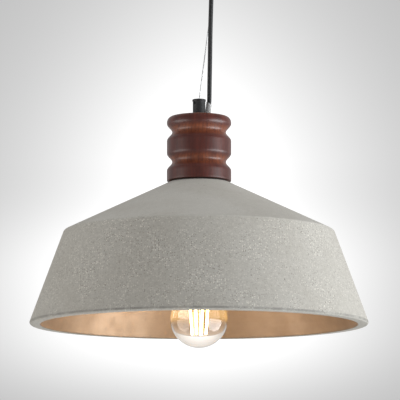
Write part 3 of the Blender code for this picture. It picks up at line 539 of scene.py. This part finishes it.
def circuit_board():
    """Green board with copper tracks under the mask."""
    p = Paint("circuit_board", Coat_Weight=0.4, Coat_Roughness=0.2)
    track = p.add("TexBrick", Vector=p.vector("MULTIPLY", p.mm, (0.5, 0.0, 0.5)), Scale=1.0)
    lines = p.span(track.outputs["Fac"], 0.4, 0.6)
    tone = p.blend(lines, (0.012, 0.11, 0.04), (0.05, 0.24, 0.1))
    tone = p.blend(p.span(p.noise(3, 3), 0.55, 0.7, 0.0, 0.4), tone, (0.01, 0.07, 0.03))
    rough = p.span(p.noise(2, 3), 0.3, 0.7, 0.35, 0.5)
    return p.finish(Base_Color=tone, Roughness=rough, Normal=p.bump(lines, 0.05, 0.5))


def fibre_board():
    """Pressed fibre."""
    p = Paint("pressed_fibre")
    hair = p.noise(1, 4, 0.7, at=p.stretch(2.5, 0.3, 0.3))
    tone = p.blend(p.span(hair, 0.35, 0.7), (0.03, 0.026, 0.022), (0.075, 0.065, 0.055))
    rough = p.span(hair, 0.3, 0.7, 0.75, 0.95)
    return p.finish(Base_Color=tone, Roughness=rough, Normal=p.bump(hair, 0.08, 0.6))


def floor_paint():
    """Pale matt floor."""
    p = Paint("pale_floor")
    cloud = p.noise(600, 3)
    tone = p.blend(p.span(cloud, 0.3, 0.7), (0.74, 0.74, 0.73), (0.78, 0.78, 0.775))
    rough = p.span(cloud, 0.3, 0.7, 0.7, 0.8)
    return p.finish(Base_Color=tone, Roughness=rough, Normal=p.bump(p.noise(4, 3), 0.2, 0.2))


def make_materials():
    """Every finish, by the record's material slot, and the copper lining."""
    black, soft_black = (0.012, 0.012, 0.012), (0.02, 0.02, 0.02)
    return {
        "concrete": concrete(),
        "copper": copper(),
        "wood": wood(),
        "black_metal": powder_coat(),
        "black_plastic": moulded("black_thermoset", black, soft_black, (0.3, 0.42)),
        "cord_black": cord_jacket(),
        "steel": metal("steel_wire", (0.42, 0.42, 0.42), (0.6, 0.6, 0.59), (0.26, 0.36)),
        "blackened": metal("blackened_steel", (0.035, 0.035, 0.035), (0.06, 0.06, 0.06), (0.36, 0.46)),
        "wire": metal("bright_strand", (0.78, 0.78, 0.78), (0.92, 0.92, 0.92), (0.42, 0.52)),
        "zinc": galvanised(),
        "brass": metal("machined_brass", (0.58, 0.38, 0.13), (0.74, 0.53, 0.22), (0.24, 0.36)),
        "rubber": moulded("rubber", black, soft_black, (0.7, 0.85), 0.6, 0.05),
        "fibre": fibre_board(),
        "ceramic": porcelain(),
        "clear_sleeve": clear_tube(),
        "core_live": insulation("brown_core", (0.1, 0.035, 0.014), (0.14, 0.05, 0.02)),
        "core_neutral": insulation("blue_core", (0.016, 0.065, 0.3), (0.03, 0.1, 0.4)),
        "core_earth": insulation("earth_core", (0.06, 0.22, 0.03), (0.09, 0.28, 0.05), (0.62, 0.5, 0.04)),
        "bulb_glass": lamp_glass(),
        "bulb_metal": metal("nickel_plate", (0.55, 0.54, 0.51), (0.72, 0.71, 0.68), (0.2, 0.32)),
        "filament": glowing_filament(),
        "board": circuit_board(),
    }


# ---------------------------------------------------------------- mesh building


def fillet(corners, steps=8):
    """An outline from (r, z) or (r, z, fillet radius) corners, with each fillet as an arc."""
    points = []
    for i, corner in enumerate(corners):
        here = Vector(corner[:2])
        if len(corner) < 3:
            points.append(tuple(here))
            continue
        to_last = (Vector(corners[i - 1][:2]) - here).normalized()
        to_next = (Vector(corners[(i + 1) % len(corners)][:2]) - here).normalized()
        half = to_last.angle(to_next) / 2
        centre = here + (to_last + to_next).normalized() * corner[2] / math.sin(half)
        start = here + to_last * corner[2] / math.tan(half) - centre
        end = here + to_next * corner[2] / math.tan(half) - centre
        turn = start.angle_signed(end)
        for k in range(steps + 1):
            a = -turn * k / steps
            across = start.x * math.cos(a) - start.y * math.sin(a)
            along = start.x * math.sin(a) + start.y * math.cos(a)
            points.append((centre.x + across, centre.y + along))
    return points


def arc(r, z, radius, start, end, steps):
    """Points of an arc in the (r, z) plane, angles in degrees from the +r direction."""
    turns = [math.radians(start + (end - start) * k / steps) for k in range(steps + 1)]
    return [(r + radius * math.cos(a), z + radius * math.sin(a)) for a in turns]


def fine(outline, step):
    """The closed outline with extra points, no further apart than step."""
    points = []
    for (r, z), (nr, nz) in zip(outline, outline[1:] + outline[:1]):
        count = max(1, math.ceil(math.hypot(nr - r, nz - z) / step))
        points += [(r + (nr - r) * k / count, z + (nz - z) * k / count) for k in range(count)]
    return points


def revolve(outline, sides, shape=None):
    """A closed (r, z) outline turned round Z. shape(r, z, angle) may move each point to another (r, z)."""
    bm = bmesh.new()
    rings = []
    for r, z in outline:
        ring = []
        for k in range(sides if r > 1e-6 else 1):
            angle = math.tau * k / sides
            pr, pz = shape(r, z, angle) if shape else (r, z)
            ring.append(bm.verts.new((pr * math.cos(angle) * MM, pr * math.sin(angle) * MM, pz * MM)))
        rings.append(ring)
    for lower, upper in zip(rings, rings[1:] + rings[:1]):
        for k in range(sides):
            j = (k + 1) % sides
            below = lower[k % len(lower)], lower[j % len(lower)]
            above = upper[j % len(upper)], upper[k % len(upper)]
            corners = list(dict.fromkeys(below + above))
            if len(corners) > 2:
                bm.faces.new(corners)
    bmesh.ops.recalc_face_normals(bm, faces=bm.faces)
    return bm


def helix(pitch, depth, low, high, inner=0.0, hand=1.0):
    """A shape for revolve: a round thread cut into the outer wall between two heights."""

    def shape(r, z, angle):
        """Cut the thread's groove at this point."""
        if r <= inner or not low < z < high:
            return r, z
        fade = min(1.0, (z - low) / pitch, (high - z) / pitch)
        turn = z / pitch - hand * angle / math.tau
        return r - depth * fade * (0.5 - 0.5 * math.cos(math.tau * turn)), z

    return shape


def piece(name, bm, finishes, body, slot, stands_for=(), origin=RIM, sharp=32.0, pick=None):
    """Make a named object from a bmesh, ride it on its body and say what it stands for."""
    mesh = bpy.data.meshes.new(name)
    bm.to_mesh(mesh)
    bm.free()
    for finish in finishes:
        mesh.materials.append(finish)
    if pick:
        for face in mesh.polygons:
            face.material_index = pick(face.center / MM)
    mesh.shade_smooth()
    mesh.set_sharp_from_angle(angle=math.radians(sharp))
    obj = bpy.data.objects.new(name, mesh)
    bpy.context.scene.collection.objects.link(obj)
    obj.location = origin
    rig.ride(obj, body)
    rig.slot(obj, slot)
    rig.replaces(obj, *stands_for)
    return obj


def punch(obj, tools):
    """Cut closed meshes out of a piece and keep the result as its mesh."""
    for tool in tools:
        cut = obj.modifiers.new("cut", "BOOLEAN")
        cut.operation, cut.solver, cut.object = "DIFFERENCE", "EXACT", tool
    bpy.context.view_layer.update()
    made = bpy.data.meshes.new_from_object(obj.evaluated_get(bpy.context.evaluated_depsgraph_get()))
    obj.modifiers.clear()
    made.name = obj.data.name
    obj.data = made
    for tool in tools:
        bpy.data.objects.remove(tool)
    return obj


def drill(radius, length, middle, direction, origin=RIM, sides=48):
    """A cylinder to cut with, from its middle and direction in millimetres."""
    half = length / 2
    bm = revolve([(0, -half), (radius, -half), (radius, half), (0, half)], sides)
    bm.transform(Vector(direction).to_track_quat("Z", "Y").to_matrix().to_4x4())
    mesh = bpy.data.meshes.new("drill")
    bm.to_mesh(mesh)
    bm.free()
    tool = bpy.data.objects.new("drill", mesh)
    bpy.context.scene.collection.objects.link(tool)
    tool.location = origin + Vector(middle) * MM
    return tool


def smooth_route(points, spacing):
    """Evenly spaced points on a Catmull-Rom curve through the route's own points."""
    knots = [Vector(p) for p in points]
    knots = [2 * knots[0] - knots[1], *knots, 2 * knots[-1] - knots[-2]]
    dense = []
    for a, b, c, d in zip(knots, knots[1:], knots[2:], knots[3:]):
        for k in range(20):
            t = k / 20
            dense.append(
                0.5 * (2 * b + (c - a) * t + (2 * a - 5 * b + 4 * c - d) * t * t)
                + 0.5 * (3 * b - a - 3 * c + d) * t**3
            )
    dense.append(knots[-2])
    total = sum((q - p).length for p, q in zip(dense, dense[1:]))
    count = max(2, round(total / spacing))
    placed, walked, target = [dense[0]], 0.0, total / count
    for p, q in zip(dense, dense[1:]):
        step = (q - p).length
        while walked + step >= target and len(placed) < count:
            placed.append(p.lerp(q, (target - walked) / step))
            target += total / count
        walked += step
    placed.append(dense[-1])
    return placed


def length_of(points):
    """The length of a run of points."""
    return sum((q - p).length for p, q in zip(points, points[1:]))


# ---------------------------------------------------------------- cord and wire

SLEEVE_FOOT = Vector((0.0064, 0.0050, 0.2005))
SLEEVE_HEAD = Vector((0.0104, 0.0050, 0.2330))
SLEEVE_AXIS = (SLEEVE_HEAD - SLEEVE_FOOT).normalized()


def make_cord(finish):
    """The power cord: out of its sleeve, and up into the bell-mouthed gland."""
    gland = (GLAND_LOW + GLAND_HIGH) / 2 - RIM
    under = CANOPY_LOW.z - RIM.z
    route = [
        SLEEVE_HEAD - SLEEVE_AXIS * 0.002,
        SLEEVE_HEAD + SLEEVE_AXIS * 0.002,
        Vector((0.01080, 0.0047, 0.2410)),
        Vector((0.01095, 0.0037, 0.2520)),
        Vector((0.01140, 0.0000, 0.2780)),
        Vector((0.01190, -0.0052, 0.3100)),
        Vector((0.01280, -0.0100, 0.3430)),
        Vector((GLAND_X, gland.y, under - 0.0046)),
        Vector((GLAND_X, gland.y, under + 0.0008)),
    ]
    points = [p + RIM for p in smooth_route(route, 0.0022)]
    curve = bpy.data.curves.new("power_cord_jacket", "CURVE")
    curve.dimensions = "3D"
    curve.bevel_depth = CORD_R * MM
    curve.bevel_resolution = 6
    curve.use_fill_caps = True
    curve.materials.append(finish)
    spline = curve.splines.new("POLY")
    spline.points.add(len(points) - 1)
    for spot, point in zip(spline.points, points):
        spot.co = (*point, 1.0)
    spline.use_smooth = True
    cord = bpy.data.objects.new("power_cord_jacket", curve)
    bpy.context.scene.collection.objects.link(cord)
    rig.ride(cord, "lamp")
    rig.slot(cord, "cord_black")
    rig.replaces(cord, "power_cord")
    return cord, points


def make_wire(finish):
    """The steel wire rope: its strands are laid helically, from inside the cap to the swivel."""
    head = BALL - RIM
    leave = Vector((0.0, 0.0, 0.2363))
    lean = (head - leave).normalized()
    route = [Vector((0, 0, 0.2230)), Vector((0, 0, 0.2300)), leave, leave + lean * 0.006]
    route += [leave + lean * 0.060, head + lean * 0.0016]
    points = [p + RIM for p in smooth_route(route, 0.0004)]
    bm = bmesh.new()
    rings = []
    sides = 36
    walked = 0.0
    side = Vector((1, 0, 0))
    for k, point in enumerate(points):
        ahead = (points[min(k + 1, len(points) - 1)] - points[max(k - 1, 0)]).normalized()
        side = (side - ahead * side.dot(ahead)).normalized()
        back = ahead.cross(side)
        ring = []
        for j in range(sides):
            angle = math.tau * j / sides
            crown = abs(math.cos(STRANDS / 2 * (angle + math.tau * walked / (STRAND_LAY * MM))))
            r = 0.00041 + 0.00009 * crown**0.5
            ring.append(bm.verts.new(point + (side * math.cos(angle) + back * math.sin(angle)) * r))
        rings.append(ring)
        if k + 1 < len(points):
            walked += (points[k + 1] - point).length
    for lower, upper in zip(rings, rings[1:]):
        for j in range(sides):
            i = (j + 1) % sides
            bm.faces.new((lower[j], lower[i], upper[i], upper[j]))
    bm.faces.new(rings[0][::-1])
    bm.faces.new(rings[-1])
    bmesh.ops.recalc_face_normals(bm, faces=bm.faces)
    wire = piece("wire_rope", bm, [finish], "lamp", "steel", ["suspension_wire"], Vector(), 60.0)
    return wire, points


def make_sleeve(finish):
    """The clear sleeve, cut on a slant at its top, that leads the cores into the collar."""
    length = (SLEEVE_HEAD - SLEEVE_FOOT).length / MM
    rim = [(2.65, 0), (2.95, 0), (2.95, length + 2), (2.65, length + 2)]
    bm = revolve(fine(rim, 2.0), 48)
    bm.transform(SLEEVE_AXIS.to_track_quat("Z", "Y").to_matrix().to_4x4())
    for vert in bm.verts:
        vert.co += SLEEVE_FOOT
    sleeve = piece("cord_sleeve_clear", bm, [finish], "lamp", "clear_sleeve", ["cord_sleeve"])
    block = bpy.data.meshes.new("slant")
    box = bmesh.new()
    bmesh.ops.create_cube(box, size=1.0)
    bmesh.ops.scale(box, vec=Vector((0.016, 0.016, 0.008)), verts=box.verts)
    box.to_mesh(block)
    box.free()
    slant = bpy.data.objects.new("slant", block)
    bpy.context.scene.collection.objects.link(slant)
    slant.location = RIM + SLEEVE_HEAD + Vector((0.0016, 0, 0.0044))
    slant.rotation_euler = (0, math.radians(30), 0)
    punch(sleeve, [slant])
    return sleeve


# ---------------------------------------------------------------- lamp body


def make_shade(finishes):
    """The cast shade: rough casting edges on the outside, copper lining inside."""
    outline = fillet(
        [
            (SHADE_HOLE_R, SHADE_TOP_Z),
            (SHADE_TOP_R, SHADE_TOP_Z, 0.6),
            (SHOULDER_R, SHOULDER_Z, 3.0),
            (SHADE_R, 0.0, 2.2),
            (RIM_INNER_R, 0.0, 1.5),
            (INNER_SHOULDER_R, INNER_SHOULDER_Z, 3.0),
            (INNER_TOP_R, INNER_TOP_Z),
            (SHADE_HOLE_R, INNER_TOP_Z),
        ],
        10,
    )

    def shape(r, z, angle):
        """Chip the casting at random along its shoulder and its rim."""
        spot = Vector((r * math.cos(angle), r * math.sin(angle), z))
        shoulder = math.exp(-((math.hypot(r - SHOULDER_R + 1.2, z - SHOULDER_Z - 0.2) / 5.0) ** 2))
        rim = math.exp(-((math.hypot(r - SHADE_R + 2.0, z - 1.5) / 5.0) ** 2))
        chip = max(0.0, noise.noise(spot / 7.0) - 0.15) * 0.9 + abs(noise.noise(spot / 3.1)) * 0.25
        return r - chip * 0.6 * (shoulder + rim), z

    wall_slope = (RIM_INNER_R - INNER_SHOULDER_R) / INNER_SHOULDER_Z
    roof_slope = (INNER_SHOULDER_R - INNER_TOP_R) / (INNER_TOP_Z - INNER_SHOULDER_Z)

    def pick(middle):
        """Copper on the inner wall and roof, and bare concrete elsewhere."""
        wall = RIM_INNER_R - middle.z * wall_slope
        roof = INNER_SHOULDER_R - (middle.z - INNER_SHOULDER_Z) * roof_slope
        away = math.hypot(middle.x, middle.y)
        return 1 if 8.0 < away < min(wall, roof) + 0.9 and middle.z < 148 else 0

    bm = revolve(fine(outline, 3.2), 320, shape)
    return piece("shade_cast", bm, finishes, "lamp", "concrete", ["shade"], sharp=60.0, pick=pick)


def make_collar(finish):
    """The turned collar: three beads, two coves, a soft top edge and its hole for the sleeve."""
    edge = 0.7
    outline = [(CAVITY_R, COLLAR_BASE_Z), (BEAD_R - edge, COLLAR_BASE_Z)]
    outline += arc(BEAD_R - edge, COLLAR_BASE_Z + edge, edge, -90, 0, 5)
    for groove in GROOVE_Z:
        for k in range(33):
            off = k / 16 - 1
            depth = GROOVE_DEPTH * math.cos(math.pi / 2 * off) ** 2
            outline.append((BEAD_R - depth, groove + off * GROOVE_HALF_H))
    round_w = BEAD_R - TOP_FLAT_R
    for k in range(1, 17):
        angle = math.pi / 2 * k / 16
        rise = TOP_ROUND_H * (math.sin(angle) - 1)
        outline.append((TOP_FLAT_R + round_w * math.cos(angle), COLLAR_TOP_Z + rise))
    outline += [(5.9, COLLAR_TOP_Z), (5.2, COLLAR_TOP_Z - 0.6)]
    outline += [(5.2, CAVITY_TOP_Z), (CAVITY_R, CAVITY_TOP_Z)]
    bm = revolve(fine(outline, 2.0), 128)
    collar = piece("collar_turned", bm, [finish], "lamp", "wood", ["wood_collar"])
    middle = (SLEEVE_FOOT + SLEEVE_HEAD) / 2 / MM
    return punch(collar, [drill(3.25, 44, middle, SLEEVE_AXIS)])


def make_cap(finish):
    """The black wire cap with its rolled lip, and the hole for the grub screw."""
    outline = fillet(
        [
            (CAP_BORE_R, CAP_BASE_Z),
            (CAP_R, CAP_BASE_Z, 0.2),
            (CAP_R, CAP_TOP_Z - 2.4, 0.6),
            (CAP_LIP_R, CAP_TOP_Z - 1.8, 0.3),
            (CAP_LIP_R, CAP_TOP_Z, 0.7),
            (WIRE_HOLE_R + 0.7, CAP_TOP_Z, 0.4),
            (WIRE_HOLE_R, CAP_TOP_Z - 1.6),
            (WIRE_HOLE_R, 229.2),
            (CAP_BORE_R, 227.9),
        ],
        5,
    )
    bm = revolve(fine(outline, 1.5), 72)
    cap = piece("cap_turned", bm, [finish], "lamp", "black_metal", ["wire_cap"])
    out = Vector((math.cos(GRUB_TURN), math.sin(GRUB_TURN), 0))
    return punch(cap, [drill(1.6, 6.4, out * 4.6 + Vector((0, 0, GRUB_Z)), out, sides=32)])


def make_bulb_glass(finish):
    """The glass envelope: a thin shell, round below and drawn in to its neck."""
    bottom = BULB_CENTRE_Z - BULB_R
    outer = arc(0, BULB_CENTRE_Z, BULB_R, -90, 24, 44)
    neck = [(47.5, 24.4), (54, 20.9), (61, 17.6), (68, 15.4), (77.5, 13.9), (79.0, 11.7), (85.5, 11.5)]
    knots = [Vector((0, r, bottom + h)) for h, r in neck]
    eased = smooth_route([Vector((0, *outer[-1])), *knots], 1.5)
    outer += [(p.y, p.z) for p in eased[1:]]
    inner = arc(0, BULB_CENTRE_Z, BULB_R - GLASS_WALL, 24, -90, 44)
    outline = outer + [(p.y - GLASS_WALL, p.z) for p in eased[:0:-1]] + inner
    bm = revolve([(max(r, 0.0), z) for r, z in outline], 128)
    glass = piece("bulb_envelope", bm, [finish], "bulb", "bulb_glass", ["bulb_glass"], sharp=70.0)
    glass.visible_shadow = False
    return glass


def make_filaments(finish):
    """The phosphor-coated sticks with rounded ends, in the places of the CAD's own."""
    for k in range(STICK_COUNT):
        turn = math.radians(STICK_TURN + 360 / STICK_COUNT * k)
        ray = Vector((math.cos(turn), math.sin(turn), 0))
        foot = ray * 7.5 + Vector((0, 0, -10.0))
        head = ray * 10.5 + Vector((0, 0, 26.0))
        length = (head - foot).length
        corners = [(0, 0), (STICK_R, 0, 0.5), (STICK_R, length, 0.5), (0, length)]
        bm = revolve(fine(fillet(corners, 5), 2.0), 20)
        bm.transform((head - foot).to_track_quat("Z", "Y").to_matrix().to_4x4())
        for vert in bm.verts:
            vert.co += foot * MM
        piece(f"glow_{k + 1}", bm, [finish], "bulb", "filament", [f"filament_{k + 1}"])


# ---------------------------------------------------------------- ceiling end


def make_canopy(finish):
    """The spun canopy, with its rolled rim and the hole for the gland."""
    inside_z = CANOPY_BASE_Z + CANOPY_WALL
    outline = fillet(
        [
            (CANOPY_HOLE_R, CANOPY_BASE_Z, 0.2),
            (CANOPY_R, CANOPY_BASE_Z, 5.0),
            (CANOPY_R, -0.5, 0.3),
            (CANOPY_R - CANOPY_WALL, -0.5, 0.3),
            (CANOPY_R - CANOPY_WALL, inside_z, 3.8),
            (CANOPY_HOLE_R, inside_z),
        ],
        10,
    )
    bm = revolve(fine(outline, 5.0), 144)
    canopy = piece("canopy_spun", bm, [finish], "canopy_set", "black_metal", ["canopy"], CANOPY_TOP)
    hole = (GLAND_TOP - CANOPY_TOP) / MM + Vector((0, 0, CANOPY_BASE_Z))
    return punch(canopy, [drill(GLAND_R + 0.3, 8, hole, (0, 0, 1), CANOPY_TOP)])


def make_barrel(finish):
    """The hanger barrel: threaded above and below its flange, with the ball's seat at its foot."""
    outline = [
        (5.2, -42.0),
        *arc(0, -36.0, 5.3, -48, 0, 12),
        (5.4, -35.0),
        (5.4, -4.0),
        (6.6, -4.0),
        (7.0, -4.4),
        (7.0, -11.3),
        (9.5, -11.3),
        (9.5, -13.8),
        (7.0, -13.8),
        (7.0, -41.2),
        (6.3, -42.0),
    ]
    upper_thread = helix(THREAD_PITCH, 0.5, -10.9, -4.4, 6.2)
    lower_thread = helix(THREAD_PITCH, 0.5, -41.0, -14.4, 6.2)

    def threaded(r, z, angle):
        """Cut both threads, and leave the flange whole."""
        return lower_thread(*upper_thread(r, z, angle), angle) if r < 7.5 else (r, z)

    bm = revolve(fine(outline, 0.25), 48, threaded)
    piece("barrel_threaded", bm, [finish], "ceiling_mount", "brass", ["hanger_barrel"], CANOPY_TOP)


def make_gland(finish):
    """The cord gland, with a bell mouth below and a thread for its nut above."""
    reach = (GLAND_HIGH.x - GLAND_LOW.x) / 2 / MM
    face = (CANOPY_LOW.z - CANOPY_TOP.z) / MM - 0.3
    outline = [(GLAND_R, -16.0), (GLAND_BORE_R, -16.0), (GLAND_BORE_R, face - 1.2)]
    outline += arc(GLAND_BORE_R + 1.6, face - 1.2, 1.6, 180, 270, 10)[1:]
    outline += arc(reach - 0.5, face - 2.3, 0.5, -90, 0, 5)[1:]
    outline += [(reach, face), (GLAND_R, face)]
    bm = revolve(fine(outline, 1.0), 64, helix(THREAD_PITCH, 0.25, -24.0, -16.2, GLAND_BORE_R + 0.5))
    gland = piece("gland_moulded", bm, [finish], "canopy_set", "black_plastic", ["cord_gland"], GLAND_TOP)
    return punch(gland, [drill(1.5, 6, (0, -5, -20), (0, 1, 0), GLAND_TOP, 32)])


def make_canopy_nut(finish):
    """The knurled nut that holds the canopy up."""
    radius, base_z, top_z, ridges = 9.4, -38.8, -30.8, 42

    def knurled(r, z, angle):
        """Cut the knurl's valleys, running out towards both ends."""
        valley = 0.5 - 0.5 * math.cos(ridges * angle)
        fade = max(0.0, min(1.0, (z - base_z - 0.5) / 0.5, (top_z - 0.5 - z) / 0.5))
        return (r - 0.5 * valley * fade, z) if r > 8.8 else (r, z)

    corners = [(7.3, base_z, 0.2), (radius, base_z, 0.6), (radius, top_z, 0.6), (7.3, top_z, 0.2)]
    bm = revolve(fine(fillet(corners, 4), 0.5), 252, knurled)
    piece("nut_knurled", bm, [finish], "canopy_ring", "black_metal", ["canopy_nut"], CANOPY_TOP, 50.0)


def make_swivel_ball(finish):
    """The ball that the lamp hangs from, bored for the wire's end."""
    outline = arc(0, 0, BALL_R, -55.9, 46, 24)
    outline += [(2.2, 3.6), *arc(0, 0, 2.2, 0, -56.9, 10)]
    piece("ball_turned", revolve(outline, 64), [finish], "swivel", "steel", ["swivel_ball"], BALL)


def dress(paint):
    """Give every CAD node that still shows its finish, by its slot in the record."""
    slots = {part["node"]: part["material_slot"] for part in frame["record"]["subparts"]}
    slots["grub_screw"] = "blackened"
    for name, node in frame["nodes"].items():
        if node.hide_render:
            continue
        node.data.materials.clear()
        node.data.materials.append(paint[slots[name]])


# ---------------------------------------------------------------- studio


def light(name, spot, target, size, power, colour=(1, 1, 1)):
    """A soft box that shines from a spot towards a target, both in metres from the rim's middle."""
    data = bpy.data.lights.new(name, "AREA")
    data.shape = "ELLIPSE"
    data.size, data.size_y = size
    data.energy = power
    data.color = colour
    lamp = bpy.data.objects.new(name, data)
    bpy.context.scene.collection.objects.link(lamp)
    lamp.location = RIM + Vector(spot)
    lamp.rotation_mode = "QUATERNION"
    lamp.rotation_quaternion = (Vector(target) - Vector(spot)).to_track_quat("-Z", "Y")
    lamp.visible_camera = False
    return lamp


def make_soft_boxes():
    """A cool key light from the right, a warmer fill from the left and a weak one overhead."""
    light("key", (1.75, -0.57, -0.5), (0, 0, 0.1), (2.4, 1.9), 55.0, (0.97, 1.0, 1.03))
    light("fill", (-1.75, -0.57, -0.5), (0, 0, 0.1), (2.2, 1.9), 22.0, (1.0, 0.985, 0.96))
    top = light("top", (0.35, -0.35, 1.5), (0, 0, 0.1), (1.2, 1.0), 11.5)
    top.visible_glossy = False


def make_bulb_light():
    """The light that the filaments give, from a small sphere that rides with the bulb."""
    data = bpy.data.lights.new("bulb_light", "POINT")
    data.energy = 2.8
    data.color = (1.0, 0.7, 0.4)
    data.shadow_soft_size = 0.012
    glow = bpy.data.objects.new("bulb_light", data)
    bpy.context.scene.collection.objects.link(glow)
    glow.location = RIM + Vector((0, 0, 0.008))
    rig.ride(glow, "bulb")
    glow.visible_glossy = False
    glow.visible_transmission = False
    glow.visible_camera = False


def make_floor():
    """A plain pale floor, well below the lamp."""
    mesh = bpy.data.meshes.new("floor")
    bm = bmesh.new()
    bmesh.ops.create_grid(bm, x_segments=24, y_segments=24, size=9.0)
    bm.to_mesh(mesh)
    bm.free()
    mesh.materials.append(floor_paint())
    floor = bpy.data.objects.new("floor", mesh)
    bpy.context.scene.collection.objects.link(floor)
    floor.location = (RIM.x, RIM.y, -2.404)
    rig.stage(floor)


def make_world():
    """A pale grey room with a brighter patch behind the lamp, fixed to the room's own directions."""
    world = bpy.data.worlds.new("studio")
    bpy.context.scene.world = world
    world.use_nodes = True
    tree = world.node_tree
    tree.nodes.clear()

    def add(kind, **settings):
        """A node of the world's tree, with its settings."""
        node = tree.nodes.new("ShaderNode" + kind)
        for key, value in settings.items():
            setattr(node, key, value)
        return node

    def math_node(operation, a, b=None):
        """Arithmetic on numbers."""
        node = add("Math", operation=operation)
        for socket, value in zip(node.inputs, (a, b)):
            if isinstance(value, bpy.types.NodeSocket):
                tree.links.new(value, socket)
            elif value is not None:
                socket.default_value = value
        return node.outputs[0]

    way = add("TexCoord").outputs["Generated"]
    pitch = math.radians(PITCH)
    axes = {
        "right": (1, 0, 0),
        "up": (0, -math.sin(pitch), math.cos(pitch)),
        "ahead": (0, math.cos(pitch), math.sin(pitch)),
    }
    part = {}
    for name, axis in axes.items():
        dot = add("VectorMath", operation="DOT_PRODUCT")
        tree.links.new(way, dot.inputs[0])
        dot.inputs[1].default_value = axis
        part[name] = dot.outputs["Value"]

    def patch(across, height, wide, tall, power):
        """A soft bright patch ahead, with its place and sizes in hundredths of a radian."""
        far = None
        for axis, middle, size in (("right", across, wide), ("up", height, tall)):
            off = math_node("MULTIPLY", math_node("SUBTRACT", part[axis], middle / 100), 100 / size)
            off = math_node("POWER", math_node("ABSOLUTE", off), power)
            far = off if far is None else math_node("ADD", far, off)
        return math_node("EXPONENT", math_node("MULTIPLY", far, -1.0))

    low = math_node("MULTIPLY", patch(-0.63, -3.83, 7.62, 3.25, 2.71), 0.57)
    high = math_node("MULTIPLY", patch(0.06, 1.52, 5.77, 6.25, 1.49), 0.78)
    front = math_node("GREATER_THAN", part["ahead"], 0.0)
    glow = math_node("MULTIPLY", math_node("ADD", low, high), front)
    wall = add("MapRange", interpolation_type="SMOOTHSTEP")
    tree.links.new(part["ahead"], wall.inputs["Value"])
    for key, number in zip(("From Min", "From Max", "To Min", "To Max"), (-0.4, 0.85, 0.22, 0.49)):
        wall.inputs[key].default_value = number
    level = math_node("ADD", wall.outputs["Result"], glow)
    background = add("Background")
    background.inputs["Color"].default_value = (1.0, 1.0, 1.0, 1.0)
    tree.links.new(level, background.inputs["Strength"])
    output = add("OutputWorld")
    tree.links.new(background.outputs[0], output.inputs["Surface"])


# ---------------------------------------------------------------- build

make_camera()
PAINT = make_materials()
cord, cord_points = make_cord(PAINT["cord_black"])
wire, wire_points = make_wire(PAINT["wire"])
sleeve = make_sleeve(PAINT["clear_sleeve"])
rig.cord(
    cord,
    exit=cord_points[0],
    length=length_of(cord_points),
    diameter=0.0047,
    far_end="object",
    stiffness="medium",
    lay="hanging",
    with_pieces=[sleeve],
)
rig.cord(
    wire,
    exit=wire_points[0],
    length=length_of(wire_points),
    diameter=0.001,
    far_end="object",
    stiffness="stiff",
    lay="taut",
    path=wire_points,
)
make_shade([PAINT["concrete"], PAINT["copper"]])
make_collar(PAINT["wood"])
make_cap(PAINT["black_metal"])
make_bulb_glass(PAINT["bulb_glass"])
make_filaments(PAINT["filament"])
make_canopy(PAINT["black_metal"])
make_barrel(PAINT["brass"])
make_gland(PAINT["black_plastic"])
make_canopy_nut(PAINT["black_metal"])
make_swivel_ball(PAINT["steel"])
dress(PAINT)
make_soft_boxes()
make_bulb_light()
make_floor()
make_world()
bpy.context.scene.view_settings.view_transform = "Standard"

LOW_NOW, HIGH_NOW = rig.bounds()
with open("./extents.json", "w") as file:
    json.dump({"cad": [list(c) for c in CAD_BOX], "visual": [list(LOW_NOW), list(HIGH_NOW)]}, file)
